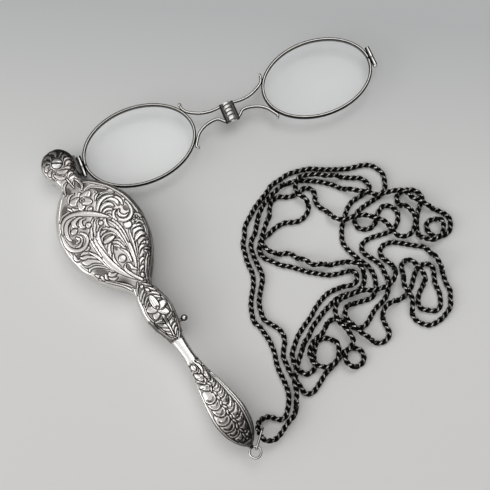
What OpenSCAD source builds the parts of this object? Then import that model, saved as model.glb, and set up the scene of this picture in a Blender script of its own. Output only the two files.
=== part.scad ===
// Folding lorgnette: a hollow silver handle with a slotted case, and a folding pair of rimmed lenses.
// +Y runs along the handle from the tail to the lens pivot, +X is the open side of the case, +Z is up.
// The origin lies on the flat back of the case, under its middle line. All sizes are in millimetres.

/* [Handle] */
// Distance from the origin up to the lens pivot
pivot_y = 36; // [34:0.5:40]
// Diameter of the pivot disc at the top of the handle
disc_d = 10.8; // [10.2:0.1:11.6]
// Width of the narrow collar under the disc
collar_w = 7.2; // [7:0.1:8]
// Greatest width of the oval case
case_w = 27.3; // [26.4:0.1:30]
// Width of the waist between the case and the cartouche
waist_w = 6.5; // [6:0.1:8]
// Greatest width of the cartouche
cartouche_w = 9.7; // [9:0.1:11]
// Width of the plain neck
neck_w = 3.9; // [3.7:0.1:5]
// Greatest width of the tail bulb
bulb_w = 11.1; // [9:0.1:13]
// Distance from the origin down to the end of the tail
tail_y = 71; // [69:0.5:76]
// Height of the slot that the lenses fold into
slot_h = 4.4; // [4.3:0.05:5]
// Depth of the back shell under the slot, at the case
back_depth = 3.8; // [3.6:0.05:4.6]
// Depth of the front shell over the slot, at the case
front_depth = 3.1; // [2.8:0.05:4]
// Depth of each shell beyond the slot, at the disc
disc_depth = 2.2; // [2:0.05:2.6]
// Half thickness of the plain neck
neck_depth = 2.2; // [2.1:0.05:2.8]
// Half thickness of the tail bulb
bulb_depth = 4.2; // [3.6:0.05:5]
// Wall of the stamped shells
wall = 0.6; // [0.5:0.05:0.7]
// Thickness of the band that closes the left side
band_t = 0.5; // [0.4:0.05:0.6]

/* [Pivot] */
// Diameter of the pivot screw's shank
screw_d = 2; // [1.6:0.1:2.2]
// Diameter of the screw's slotted head
head_d = 3.5; // [3.1:0.1:3.7]
// Height of the screw's domed head
head_h = 0.8; // [0.5:0.05:1]
// Width of the dark recess round the head
recess_w = 0.3; // [0.15:0.05:0.4]
// Depth of the recess for the head
recess_h = 0.3; // [0.1:0.05:0.35]
// Outer diameter of the tongue's barrel
barrel_d = 5.2; // [4.8:0.1:5.6]
// Radial clearance of every turning fit
run = 0.05; // [0.02:0.01:0.08]

/* [Lenses] */
// Length of each rim, along the lens line
rim_l = 38.1; // [36:0.1:38.6]
// Width of each rim, across the lens line
rim_w = 27.2; // [25:0.1:27.6]
// Height of the rim wire
rim_h = 1.5; // [1.3:0.05:1.6]
// Radial thickness of the rim wire
rim_t = 1; // [0.8:0.05:1.2]
// Thickness of each lens at its middle
lens_t = 1.3; // [1:0.05:1.4]
// Distance from lens centre to lens centre
lens_gap = 62.6; // [62:0.1:65]
// Distance from the pivot to the near lens centre, along the lens line
near_s = 26.6; // [26.4:0.1:28]
// How far the lens line lies below the pivot
line_drop = 2; // [1.8:0.1:2.2]
// Angle of the opened lenses below the +X axis
open_angle = 12.8; // [11:0.2:15]
// Clear gap between the two rims when they are folded together
fold_gap = 0.3; // [0.25:0.05:0.4]
// Diameter of the arm wire
arm_d = 1; // [0.8:0.05:1.1]
// Diameter of the closing tubes on the rims
tube_d = 1.6; // [1.4:0.05:1.65]
// Length of each half of a closing tube above the lens line
tube_up = 3.8; // [3.2:0.1:4]
// Length of each half of a closing tube below the lens line
tube_down = 3.2; // [2.8:0.1:3.3]
// Diameter of the closing screws
closing_d = 0.8; // [0.6:0.05:0.9]

/* [Bridge] */
// Diameter of the bridge hinge's knuckles
knuckle_d = 2.4; // [2.2:0.05:2.6]
// Diameter of the bridge pin
pin_d = 0.8; // [0.7:0.05:0.9]
// Width of the leaf that carries the knuckles
leaf_w = 1.15; // [1:0.05:1.3]
// Length of one small knuckle
knuckle_l = 1.25; // [1.15:0.05:1.3]
// Length of the large lower knuckle
end_knuckle_l = 1.8; // [1.6:0.05:2]

/* [Release] */
// Distance from the origin down to the release knob
knob_y = 27.4; // [27:0.1:28]
// Diameter of the ball on the release knob
knob_d = 2.1; // [1.8:0.1:2.6]
// Length of the knob's stem outside the handle
stem_out = 0.7; // [0.5:0.1:1.2]
// Diameter of the knob's stem
stem_d = 1; // [0.8:0.05:1.1]
// How far the release slides towards the tail
release_travel = 1.6; // [1.2:0.1:2]

/* [Eye and chain] */
// Outer diameter of the tail eye
eye_d = 4.2; // [3.8:0.1:4.6]
// Wire of the tail eye
eye_wire = 0.7; // [0.6:0.05:0.8]
// Length of the oval link
link_l = 7.4; // [7:0.1:8]
// Height of the oval link
link_h = 3.9; // [3.7:0.1:4.4]
// Wire of the oval link
link_wire = 0.75; // [0.6:0.05:0.8]
// Diameter of the rope chain
chain_d = 1.75; // [1.5:0.05:1.8]

/* [Hidden] */

// Heights: the slot lies between the two shells, and mid_z is the middle of it
mid_z = back_depth + slot_h / 2;
half_slot = slot_h / 2;
fold_pitch = rim_h + fold_gap;
lens_z = mid_z - fold_pitch / 2;
touch = 0.02;
shank_d = 1.2;
shank_in = 1.4;
tail_end = shank_d / 2 + 0.25;

// Places along the handle where its outline and its section are given
collar_y = 29.7;
case_y = 9;
waist_y = -13;
cartouche_y = -21.3;
neck_y = -37.5;
bulb_y = -60;
slot_end_y = -24.5;
seam_y = -32.4;
stem_gap = stem_d / 2 + 0.25;

// Half width of the handle from the tail up to the disc: [place, half width]
WIDTHS = [
    [-tail_y, tail_end], [-tail_y + 1, 0.17 * bulb_w], [-tail_y + 3.5, 0.335 * bulb_w],
    [-tail_y + 7, 0.455 * bulb_w], [bulb_y, bulb_w / 2], [-56, 0.468 * bulb_w], [-50, 0.37 * bulb_w],
    [-43.5, neck_w / 2 + 0.65], [neck_y, neck_w / 2], [-34, neck_w / 2 + 0.15],
    [-30, 0.3 * cartouche_w], [-26, 0.425 * cartouche_w], [cartouche_y, cartouche_w / 2],
    [-16, 0.415 * cartouche_w], [waist_y, waist_w / 2], [-11, waist_w / 2 + 0.8],
    [-8, 0.242 * case_w], [-3, 0.372 * case_w], [3, 0.468 * case_w], [case_y, case_w / 2],
    [14, 0.484 * case_w], [20, 0.4 * case_w], [25, 0.258 * case_w], [27.4, collar_w / 2 + 0.75],
    [collar_y, collar_w / 2], [pivot_y - disc_d * 0.38, disc_d * 0.362]];

// Depth of a shell beyond the edge of the slot: [place, front depth, back depth]
DEPTHS = [
    [-tail_y, tail_end, tail_end], [-tail_y + 1, 0.36 * bulb_depth, 0.36 * bulb_depth],
    [-tail_y + 4, 0.72 * bulb_depth, 0.72 * bulb_depth], [bulb_y, bulb_depth, bulb_depth],
    [-50, 0.85 * bulb_depth, 0.85 * bulb_depth], [-43.5, neck_depth + 0.2, neck_depth + 0.2],
    [neck_y, neck_depth, neck_depth], [-33, neck_depth, neck_depth],
    [cartouche_y, 0.85 * front_depth, 0.72 * back_depth], [waist_y, 0.75 * front_depth, 0.7 * back_depth],
    [-7, 0.9 * front_depth, 0.9 * back_depth], [2, front_depth, back_depth + 0.3],
    [17, front_depth, back_depth + 0.3], [24, 0.86 * front_depth, 0.8 * back_depth],
    [collar_y, disc_depth, disc_depth], [pivot_y, disc_depth, disc_depth],
    [pivot_y + disc_d * 0.42, 0.9 * disc_depth, 0.9 * disc_depth],
    [pivot_y + disc_d / 2, 0.3 * disc_depth, 0.3 * disc_depth]];

// Half height of the gap between the shells: [place, half gap]
GAPS = [
    [-tail_y, 0], [seam_y, 0], [seam_y + 1, stem_gap * 0.8], [-knob_y - release_travel - stem_gap, stem_gap],
    [-knob_y + stem_gap, stem_gap], [slot_end_y, half_slot], [0, half_slot], [pivot_y + disc_d, half_slot]];

// Smooth curve through a list of [place, value...], flat at its peaks and never past them
function slope(t, i, c) = (t[i + 1][c] - t[i][c]) / (t[i + 1][0] - t[i][0]);
function tangent(t, i, c) = i <= 0 || i >= len(t) - 1 ? 0 :
    let (a = slope(t, i - 1, c), b = slope(t, i, c)) a * b <= 0 ? 0 : 2 * a * b / (a + b);
function cell(t, y, i = 0) = i >= len(t) - 2 || y < t[i + 1][0] ? i : cell(t, y, i + 1);
function curve(t, y, c = 1) = let (
    i = cell(t, y), h = t[i + 1][0] - t[i][0], u = min(1, max(0, (y - t[i][0]) / h)),
    a = tangent(t, i, c) * h, b = tangent(t, i + 1, c) * h)
    (2 * u * u * u - 3 * u * u + 1) * t[i][c] + (u * u * u - 2 * u * u + u) * a
    + (3 * u * u - 2 * u * u * u) * t[i + 1][c] + (u * u * u - u * u) * b;

// Half width of the handle: the list up to the collar, then the round of the disc
function half_width(y) = let (up = y - pivot_y)
    up > -disc_d * 0.38 ? sqrt(max(0, disc_d * disc_d / 4 - up * up)) : curve(WIDTHS, y);
function half_gap(y) = curve(GAPS, y);

// One stamped half of the handle, made of sections from the tail to the disc.
// up is 1 for the front and -1 for the back, and column is that half's depth in DEPTHS.
SECTION_POINTS = 13;
SQUARENESS = 2.6;
function superellipse(a) = [-sign(cos(a)) * pow(abs(cos(a)), 2 / SQUARENESS),
                            pow(max(0, sin(a)), 2 / SQUARENESS)];
function section(y, up, column, inset) = let (
    w = max(0.12, half_width(y) - inset), d = max(0.12, curve(DEPTHS, y, column) - inset), g = half_gap(y))
    [for (k = [0 : SECTION_POINTS - 1]) let (p = superellipse(180 * k / (SECTION_POINTS - 1)))
        [w * p[0], y, mid_z + up * (g + d * p[1])]];
OUTER_STATIONS = concat(
    [-tail_y, -tail_y + 0.4, -tail_y + 1, -tail_y + 2.2, -tail_y + 3.8, -tail_y + 5.5, -tail_y + 7.5,
     bulb_y, -57, -54, -51, -48, -45.5, -43, -40.5, neck_y, -35, -33, seam_y, seam_y + 0.6, seam_y + 1.2,
     -30, -28, -26.6, -25.5, slot_end_y, -23, cartouche_y, -19, -17, -15, waist_y, -11.6, -10, -8, -6, -4,
     -1.5],
    [1.5, 5, case_y, 13, 16, 18.5, 20.5, 22.5, 24, 25.2, 26.4, 27.6, 28.8, collar_y, 31, 32.4, 34],
    [for (k = [0 : 7]) pivot_y + disc_d / 2 * sin(k * 12 + 4)]);
function inner_station(y) = min(pivot_y + disc_d / 2 - wall - 0.1, max(-tail_y + 1.5 + wall, y));
function grid_faces(rows, first, flip) = [for (r = [0 : rows - 2]) for (k = [0 : SECTION_POINTS - 2])
    let (a = first + r * SECTION_POINTS + k, b = a + 1, c = a + SECTION_POINTS, d = c + 1)
    each (flip ? [[a, b, d], [a, d, c]] : [[a, d, b], [a, c, d]])];
function strip_faces(rows, inner, k, flip) = [for (r = [0 : rows - 2])
    let (a = r * SECTION_POINTS + k, b = a + SECTION_POINTS, c = inner + a, d = inner + b)
    each (flip ? [[a, c, d], [a, d, b]] : [[a, d, c], [a, b, d]])];
function fan_faces(first, flip) = [for (k = [1 : SECTION_POINTS - 2])
    flip ? [first, first + k + 1, first + k] : [first, first + k, first + k + 1]];
module half_shell(up, column) {
    stations = OUTER_STATIONS;
    rows = len(stations);
    outer = [for (y = stations) each section(y, up, column, 0)];
    inner = [for (i = [0 : rows - 1]) let (y = inner_station(stations[i]) + 0.001 * i)
        each section(y, up, column, wall)];
    n = len(outer);
    last = (rows - 1) * SECTION_POINTS;
    end = SECTION_POINTS - 1;
    flip = up < 0;
    polyhedron(concat(outer, inner), concat(
        grid_faces(rows, 0, flip), grid_faces(rows, n, !flip),
        strip_faces(rows, n, 0, !flip), strip_faces(rows, n, end, flip),
        fan_faces(0, flip), fan_faces(n, !flip), fan_faces(last, !flip), fan_faces(n + last, flip),
        flip ? [[0, n + end, end], [0, n, n + end]] : [[0, end, n + end], [0, n + end, n]],
        flip ? [[last, last + end, n + last + end], [last, n + last + end, n + last]]
             : [[last, n + last + end, last + end], [last, n + last, n + last + end]]), 6);
}

// Depth of the hollow below or above mid_z, at one place inside a shell
function inner_depth(y, x, column) = let (w = half_width(y) - wall, d = curve(DEPTHS, y, column) - wall)
    half_gap(y) + d * pow(max(0, 1 - pow(min(1, abs(x) / w), SQUARENESS)), 1 / SQUARENESS);

// Tube of round section along points that stay away from the vertical; one polyhedron
function unit(v) = v / norm(v);
function along(p, i) = unit(p[min(len(p) - 1, i + 1)] - p[max(0, i - 1)]);
function ring(c, t, r, sides) = let (side = unit(cross(t, [0, 0, 1])), up = cross(side, t))
    [for (k = [0 : sides - 1]) c + r * (cos(360 * k / sides) * side + sin(360 * k / sides) * up)];
function tube_skin(n, sides) = [for (i = [0 : n - 2]) for (k = [0 : sides - 1])
    let (a = i * sides + k, b = i * sides + (k + 1) % sides, c = a + sides, d = b + sides)
    each [[a, b, d], [a, d, c]]];
module tube(p, r, sides) {
    n = len(p);
    polyhedron([for (i = [0 : n - 1]) each ring(p[i], along(p, i), r, sides)], concat(
        tube_skin(n, sides),
        [for (k = [1 : sides - 2]) [0, k + 1, k]],
        [for (k = [1 : sides - 2]) let (e = (n - 1) * sides) [e, e + k, e + k + 1]]), 4);
}
// Even smooth curve through a few points
function knot(p, i) = i < 0 ? 2 * p[0] - p[1] : i >= len(p) ? 2 * p[len(p) - 1] - p[len(p) - 2] : p[i];
function between(p, i, u) = let (a = knot(p, i - 1), b = p[i], c = p[i + 1], d = knot(p, i + 2))
    0.5 * (2 * b + (c - a) * u + (2 * a - 5 * b + 4 * c - d) * u * u + (3 * b - a - 3 * c + d) * u * u * u);
function smooth(p, steps) = [for (i = [0 : len(p) - 2]) for (k = [0 : steps - 1]) between(p, i, k / steps),
    p[len(p) - 1]];

// Stack on the pivot
PIN_FN = 48;
plate_h = disc_depth - wall - 0.3;
plate_d = 0.68 * disc_d;
disc_top = mid_z + half_slot + disc_depth;
disc_bottom = mid_z - half_slot - disc_depth;
head_seat = disc_top - recess_h;
nut_d = screw_d + 1.8;
nut_out = 0.4;
module at_pivot(z) { translate([0, pivot_y, z]) children(); }

module front_shell() color("silver") difference() {
    half_shell(1, 1);
    at_pivot(mid_z) cylinder(d = screw_d + 2 * run, h = 2 * disc_depth + slot_h, $fn = PIN_FN);
    at_pivot(mid_z) cylinder(d = plate_d + 2 * touch, h = half_slot + plate_h, $fn = PIN_FN);
    at_pivot(head_seat) cylinder(d = head_d + 2 * recess_w, h = disc_depth, $fn = PIN_FN);
    tail_bore();
}
module back_shell() color("silver") difference() {
    half_shell(-1, 2);
    translate([-case_w, -tail_y, -4]) cube([2 * case_w, 2 * tail_y, 4]);
    at_pivot(-1) cylinder(d = nut_d + 2 * touch, h = mid_z, $fn = PIN_FN);
    at_pivot(mid_z - half_slot - plate_h)
        cylinder(d = plate_d + 2 * touch, h = half_slot + plate_h, $fn = PIN_FN);
    tail_bore();
}
module tail_bore() {
    translate([0, -tail_y - 1, mid_z]) rotate([-90, 0, 0])
        cylinder(d = shank_d + 2 * touch, h = 2 + shank_in, $fn = PIN_FN);
}

// Strip that joins the shells along the closed left side, from the seam to the top left of the disc
band_top = pivot_y + disc_d / 2 * sin(35);
function band_point(y, inset) = let (e = 0.05, s = (half_width(y + e) - half_width(y - e)) / (2 * e))
    [-half_width(y), y] + inset * unit([1, s]);
module side_band() color("gainsboro") {
    stations = concat([seam_y + 0.5, seam_y + 1.2],
        [for (y = OUTER_STATIONS) if (y > seam_y + 1.6 && y < band_top - 0.6) y], [band_top]);
    n = len(stations);
    points = [for (y = stations)
        let (o = band_point(y, touch), i = band_point(y, band_t), low = mid_z - half_gap(y) + 0.01,
             high = mid_z + half_gap(y) - 0.01)
        each [[o[0], o[1], low], [i[0], i[1], low], [i[0], i[1], high], [o[0], o[1], high]]];
    polyhedron(points, concat(
        [for (r = [0 : n - 2]) for (k = [0 : 3])
            let (a = 4 * r + k, b = 4 * r + (k + 1) % 4, c = a + 4, d = b + 4) each [[a, b, d], [a, d, c]]],
        [[0, 2, 1], [0, 3, 2]],
        [let (e = 4 * (n - 1)) [e, e + 1, e + 2], let (e = 4 * (n - 1)) [e, e + 2, e + 3]]), 4);
}

module front_pivot_plate() color("dimgray") at_pivot(mid_z + half_slot) difference() {
    cylinder(d = plate_d, h = plate_h, $fn = PIN_FN);
    translate([0, 0, -1]) cylinder(d = screw_d + 2 * run, h = plate_h + 2, $fn = PIN_FN);
}
module back_pivot_plate() color("dimgray") at_pivot(mid_z - half_slot - plate_h) difference() {
    cylinder(d = plate_d, h = plate_h, $fn = PIN_FN);
    translate([0, 0, -1]) cylinder(d = screw_d + 2 * run, h = plate_h + 2, $fn = PIN_FN);
}
module pivot_nut() color("gray") at_pivot(disc_bottom - nut_out) difference() {
    cylinder(d = nut_d, h = mid_z - half_slot - plate_h - disc_bottom + nut_out, $fn = PIN_FN);
    translate([0, 0, -1]) cylinder(d = screw_d, h = 2 * slot_h, $fn = PIN_FN);
}
// Slotted screw with a domed head, in its recess
module pivot_screw() color("whitesmoke") difference() {
    union() {
        at_pivot(disc_bottom - nut_out + 0.1)
            cylinder(d = screw_d, h = head_seat - disc_bottom + nut_out - 0.1, $fn = PIN_FN);
        at_pivot(head_seat) intersection() {
            cylinder(d = head_d, h = head_h, $fn = PIN_FN);
            translate([0, 0, head_h - 2.4]) sphere(r = 2.4, $fn = PIN_FN);
        }
    }
    at_pivot(head_seat + head_h * 0.5) rotate([0, 0, -35]) translate([-head_d, -0.2, 0])
        cube([2 * head_d, 0.4, head_h]);
}

// Everything on the lens line is drawn in its own frame: x runs along the line, y across it
module lens_line() { at_pivot(0) rotate([0, 0, -open_angle]) translate([0, -line_drop, 0]) children(); }
bridge_s = near_s + lens_gap / 2;
far_s = near_s + lens_gap;
tube_reach = rim_l / 2 + 0.7;
near_tube_s = near_s - tube_reach;
far_tube_s = far_s + tube_reach;
tongue_t = 1.15;
tongue_face = near_tube_s - tube_d / 2 - 0.1;
spring_d = screw_d + 1.2;

// Tongue that turns on the pivot screw and carries the near rim
module pivot_tongue() color("dimgray") lens_line() difference() {
    union() {
        translate([0, line_drop, mid_z - half_slot + run])
            cylinder(d = barrel_d, h = slot_h - 2 * run, $fn = PIN_FN);
        translate([0, line_drop - 1.7, lens_z - rim_h / 2]) cube([tongue_face, 3, fold_pitch + rim_h]);
        translate([tongue_face - tongue_t, 0, lens_z - rim_h / 2]) linear_extrude(fold_pitch + rim_h)
            polygon([[0, tube_up], [tongue_t, tube_up], [tongue_t, 0.5 - tube_down],
                     [tongue_t * 0.6, 0.3 - tube_down], [0, 1.8 - tube_down]]);
        translate([tongue_face - 0.1, -tube_down + 0.7, lens_z - tube_d * 0.35])
            cube([near_tube_s - tongue_face + 0.1, tube_up + tube_down - 1, tube_d * 0.7]);
    }
    translate([0, line_drop, 0]) cylinder(d = screw_d + 2 * run, h = 3 * slot_h, $fn = PIN_FN);
    translate([0, line_drop, mid_z]) cylinder(d = spring_d + 0.3, h = slot_h, $fn = PIN_FN);
    tube_cut(near_tube_s, touch);
}
// Coil round the screw, inside the tongue, that throws the lenses out
spring_wire = 0.3;
function helix(r, pitch, turns, z, per) = [for (i = [0 : turns * per])
    [r * cos(360 * i / per), r * sin(360 * i / per), z + pitch * i / per]];
module pivot_spring() color("gray") lens_line() translate([0, line_drop, 0])
    tube(helix((screw_d + spring_d) / 4 + 0.05, 0.42, 4, mid_z + spring_wire / 2 + 0.05, 12),
         spring_wire / 2, 6);

// Oval rims: a wire with a groove for the lens, split where the closing tube joins it
RIM_STEPS = 60;
GROOVE = 0.35;
rim_split = 0.3;
function oval(a, inset) = let (
    p = [rim_l / 2 * cos(a), rim_w / 2 * sin(a)],
    n = unit([cos(a) * rim_w, sin(a) * rim_l]))
    p - inset * n;
RIM_PROFILE = [[0, -0.27], [0.3, -0.5], [1, -0.5], [1, -0.22], [1 - GROOVE, 0],
               [1, 0.22], [1, 0.5], [0.3, 0.5], [0, 0.27]];
module rim(split) {
    m = len(RIM_PROFILE);
    gap = asin(rim_split / rim_w);
    points = [for (i = [0 : RIM_STEPS]) let (a = split + gap + (360 - 2 * gap) * i / RIM_STEPS)
        for (q = RIM_PROFILE) let (p = oval(a, q[0] * rim_t)) [p[0], p[1], q[1] * rim_h]];
    e = RIM_STEPS * m;
    polyhedron(points, concat(
        [for (i = [0 : RIM_STEPS - 1]) for (k = [0 : m - 1])
            let (a = i * m + k, b = i * m + (k + 1) % m, c = a + m, d = b + m) each [[a, d, b], [a, c, d]]],
        [[for (k = [0 : m - 1]) k]], [[for (k = [0 : m - 1]) e + m - 1 - k]]), 6);
}
// Lens: bevelled to a V edge that sits in the groove, and a little thicker in the middle
function lens_rings() = let (edge = rim_t * (1 - GROOVE) + 0.06, shoulder = 0.2 * rim_h)
    [[rim_t + 0.05, 1, shoulder], [rim_t, 0.66, shoulder + (lens_t / 2 - shoulder) * 0.56],
     [rim_t, 0.33, shoulder + (lens_t / 2 - shoulder) * 0.89], [edge, 1, 0]];
module lens() {
    r = lens_rings();
    n = RIM_STEPS;
    points = concat(
        [for (up = [1, -1]) for (j = [0 : 2]) for (i = [0 : n - 1])
            let (p = r[j][1] * oval(360 * i / n, r[j][0])) [p[0], p[1], up * r[j][2]]],
        [for (i = [0 : n - 1]) let (p = oval(360 * i / n, r[3][0])) [p[0], p[1], 0]],
        [[0, 0, lens_t / 2], [0, 0, -lens_t / 2]]);
    function quad(j, k) = [for (i = [0 : n - 1])
        let (i2 = (i + 1) % n, a = j * n + i, b = j * n + i2, c = k * n + i, d = k * n + i2)
        each [[a, b, d], [a, d, c]]];
    polyhedron(points, concat(quad(1, 0), quad(2, 1), quad(3, 4), quad(4, 5), quad(0, 6), quad(6, 3),
        [for (i = [0 : n - 1]) [7 * n, 2 * n + (i + 1) % n, 2 * n + i]],
        [for (i = [0 : n - 1]) [7 * n + 1, 5 * n + i, 5 * n + (i + 1) % n]]), 6);
}
module tube_cut(s, grow) {
    translate([s, -3 * tube_down, lens_z]) rotate([-90, 0, 0])
        cylinder(d = tube_d + 2 * grow, h = 9 * tube_up, $fn = PIN_FN);
}
module near_rim() color("lightslategray") lens_line() difference() {
    translate([near_s, 0, lens_z]) rim(180);
    tube_cut(near_tube_s, 0);
}
module far_rim() color("lightslategray") lens_line() difference() {
    translate([far_s, 0, lens_z]) rim(0);
    tube_cut(far_tube_s, 0);
}
module near_lens() color([0.85, 0.92, 0.95, 0.5]) lens_line() translate([near_s, 0, lens_z]) lens();
module far_lens() color([0.85, 0.92, 0.95, 0.5]) lens_line() translate([far_s, 0, lens_z]) lens();

// Closing tube: two halves soldered to the rim's ends and drawn together by a screw
module half_tube(s, low, high) {
    translate([s, low, lens_z]) rotate([-90, 0, 0]) difference() {
        cylinder(d = tube_d, h = high - low, $fn = PIN_FN);
        translate([0, 0, -1]) cylinder(d = closing_d + 2 * touch, h = high - low + 2, $fn = PIN_FN);
    }
}
module closing_screw(s) {
    translate([s, 0, lens_z]) rotate([-90, 0, 0]) {
        translate([0, 0, -tube_down]) cylinder(d = closing_d, h = tube_up + tube_down, $fn = 24);
        translate([0, 0, -tube_down]) intersection() {
            sphere(d = tube_d - 0.1, $fn = 32);
            translate([0, 0, -tube_d]) cylinder(d = tube_d, h = tube_d, $fn = 32);
        }
    }
}
module near_upper_tube() color("slategray") lens_line() half_tube(near_tube_s, 0.05, tube_up);
module near_lower_tube() color("slategray") lens_line() half_tube(near_tube_s, -tube_down, -0.05);
module near_closing_screw() color("gray") lens_line() closing_screw(near_tube_s);
module far_upper_tube() color("slategray") lens_line() half_tube(far_tube_s, 0.05, tube_up);
module far_lower_tube() color("slategray") lens_line() half_tube(far_tube_s, -tube_down, -0.05);
module far_closing_screw() color("gray") lens_line() closing_screw(far_tube_s);

// Bridge hinge: two leaves, five knuckles and a pin, with its axis half a pitch above the lenses
leaf_face = knuckle_d / 2 + 0.08;
leaf_out = leaf_face + leaf_w;
hinge_top = 2 * knuckle_l + 0.5;
knuckle_gap = 0.03;
function joint_n(i) = i < 5 ? hinge_top - i * knuckle_l : hinge_top - 4 * knuckle_l - end_knuckle_l;
hinge_bottom = joint_n(5);
leaf_h = 1.35;
leaf_low = mid_z - 0.1 - leaf_h;
bridge_spring_d = pin_d + 0.85;
module knuckle(i, side) {
    low = joint_n(i + 1) + knuckle_gap;
    high = joint_n(i) - knuckle_gap;
    difference() {
        union() {
            translate([bridge_s, low, mid_z]) rotate([-90, 0, 0])
                cylinder(d = knuckle_d, h = high - low, $fn = PIN_FN);
            translate([side > 0 ? bridge_s : bridge_s - leaf_face - 0.1, low, mid_z - 1])
                cube([leaf_face + 0.1, high - low, 0.9]);
        }
        translate([bridge_s, low - 1, mid_z]) rotate([-90, 0, 0])
            cylinder(d = pin_d + 2 * run, h = high - low + 2, $fn = PIN_FN);
        if (i == 4) translate([bridge_s, low - 1, mid_z]) rotate([-90, 0, 0])
            cylinder(d = bridge_spring_d + 0.1, h = high - low + 0.7, $fn = PIN_FN);
    }
}
module leaf(side) {
    translate([side > 0 ? bridge_s + leaf_face : bridge_s - leaf_out, hinge_bottom, leaf_low])
        cube([leaf_w, hinge_top - hinge_bottom, leaf_h]);
}
module near_leaf() color("silver") lens_line() {
    leaf(-1);
    for (i = [0, 2, 4]) knuckle(i, -1);
}
module far_leaf() color("silver") lens_line() {
    leaf(1);
    for (i = [1, 3]) knuckle(i, 1);
}
module bridge_pin() color("gray") lens_line() translate([bridge_s, 0, mid_z]) rotate([-90, 0, 0]) {
    translate([0, 0, hinge_bottom]) cylinder(d = pin_d, h = hinge_top - hinge_bottom, $fn = 24);
    translate([0, 0, hinge_top]) cylinder(d = 1.8 * pin_d, h = 0.25, $fn = 24);
    translate([0, 0, hinge_bottom - 0.25]) cylinder(d = bridge_spring_d + 0.6, h = 0.25, $fn = 24);
}
module bridge_spring() color("gray") lens_line()
    translate([bridge_s, hinge_bottom, mid_z]) rotate([-90, 0, 0])
        tube(helix((pin_d + bridge_spring_d) / 4 + 0.03, 0.3, 4, 0.2, 12), 0.1, 6);

// Scroll-ended arms from the leaf to the rim; side is -1 for the near lens and 1 for the far one.
// The points between are placed by their share of the way from the leaf to the end of the rim.
rim_end = (lens_gap - rim_l) / 2;
function on_way(share) = leaf_out + share * (rim_end - leaf_out);
function rim_touch(a, side) = let (p = oval(a, -arm_d / 2 - touch)) [side * (p[0] - lens_gap / 2), p[1]];
function arm_path(points) = [for (p = points) [p[0], p[1], lens_z]];
function upper_arm(side) = arm_path([
    [side * (leaf_out - 0.3), hinge_top - 0.55], [side * (leaf_out + 1.6), hinge_top - 0.75],
    [side * on_way(0.36), 2.25], [side * on_way(0.63), 2.75], [side * on_way(0.87), 3.75],
    rim_touch(21, -side), rim_touch(28, -side), rim_touch(28, -side) + [-side * 0.15, 1.4]]);
function lower_arm(side) = arm_path([
    [side * (leaf_out - 0.3), hinge_bottom + 0.6], [side * (leaf_out + 0.5), hinge_bottom + 1.3],
    [side * (leaf_out + 1.7), -1.35], [side * on_way(0.3), -1.1], [side * on_way(0.49), -1.3],
    [side * on_way(0.73), -2.05], [side * on_way(0.975), -3.75],
    rim_touch(-26, -side), rim_touch(-31, -side) + [-side * 0.2, -0.4]]);
module arm(points, side, end_d) {
    path = smooth(points, 3);
    difference() {
        union() {
            tube(path, arm_d / 2, 8);
            translate(path[len(path) - 1]) sphere(d = end_d, $fn = 16);
        }
        translate([side > 0 ? leaf_out - 1 : -leaf_out, -9, 0]) cube([1, 18, 3 * slot_h]);
        translate([side * lens_gap / 2, 0, lens_z - 1.5]) linear_extrude(3)
            polygon([for (i = [0 : RIM_STEPS - 1]) oval(360 * i / RIM_STEPS, -touch)]);
    }
}
module at_bridge() { lens_line() translate([bridge_s, 0, 0]) children(); }
module near_upper_arm() color("silver") at_bridge() arm(upper_arm(-1), -1, arm_d + 0.4);
module near_lower_arm() color("silver") at_bridge() arm(lower_arm(-1), -1, arm_d + 0.1);
module far_upper_arm() color("silver") at_bridge() arm(upper_arm(1), 1, arm_d + 0.1);
module far_lower_arm() color("silver") at_bridge() arm(lower_arm(1), 1, arm_d + 0.1);

// Release: a sprung catch in the cartouche, worked by the ball knob that slides along the side
catch_half = 1.15;
catch_tail = -knob_y - 2.4;
catch_nose = -knob_y + 4.4;
knob_x = half_width(-knob_y) + stem_out + knob_d / 2;
seat_y = catch_tail - 5;
module release_latch() color("gray") difference() {
    union() {
        translate([-catch_half, catch_tail, mid_z - 0.5]) cube([2 * catch_half, catch_nose - catch_tail, 1]);
        translate([-catch_half, catch_nose - 0.8, mid_z - 0.5]) cube([2 * catch_half, 0.8, 1.7]);
        translate([0, -knob_y, mid_z]) rotate([0, 90, 0]) cylinder(d = stem_d, h = knob_x - 0.3, $fn = 32);
    }
}
module release_knob() color("whitesmoke") translate([knob_x, -knob_y, mid_z]) difference() {
    sphere(d = knob_d, $fn = 40);
    translate([-knob_d, 0, 0]) rotate([0, 90, 0])
        cylinder(d = stem_d + 2 * touch, h = knob_d - 0.3 + touch, $fn = 32);
}
guide_half = 1.6;
guide_low = mid_z - inner_depth(catch_tail, guide_half, 2) + touch;
module latch_guide() color("dimgray") translate([-guide_half, catch_tail, guide_low])
    cube([2 * guide_half, 4.8, mid_z - 0.5 - run - guide_low]);
seat_r = min(half_width(seat_y), neck_depth) - wall - touch;
module spring_seat() color("dimgray") translate([0, seat_y - 0.8, mid_z]) rotate([-90, 0, 0])
    cylinder(r = seat_r, h = 0.8, $fn = 32);
module latch_spring() color("gray") translate([0, seat_y, mid_z]) rotate([-90, 0, 0])
    tube(helix(0.75, (catch_tail - seat_y - 0.5) / 7, 7, 0.2, 10), 0.15, 6);

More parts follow.
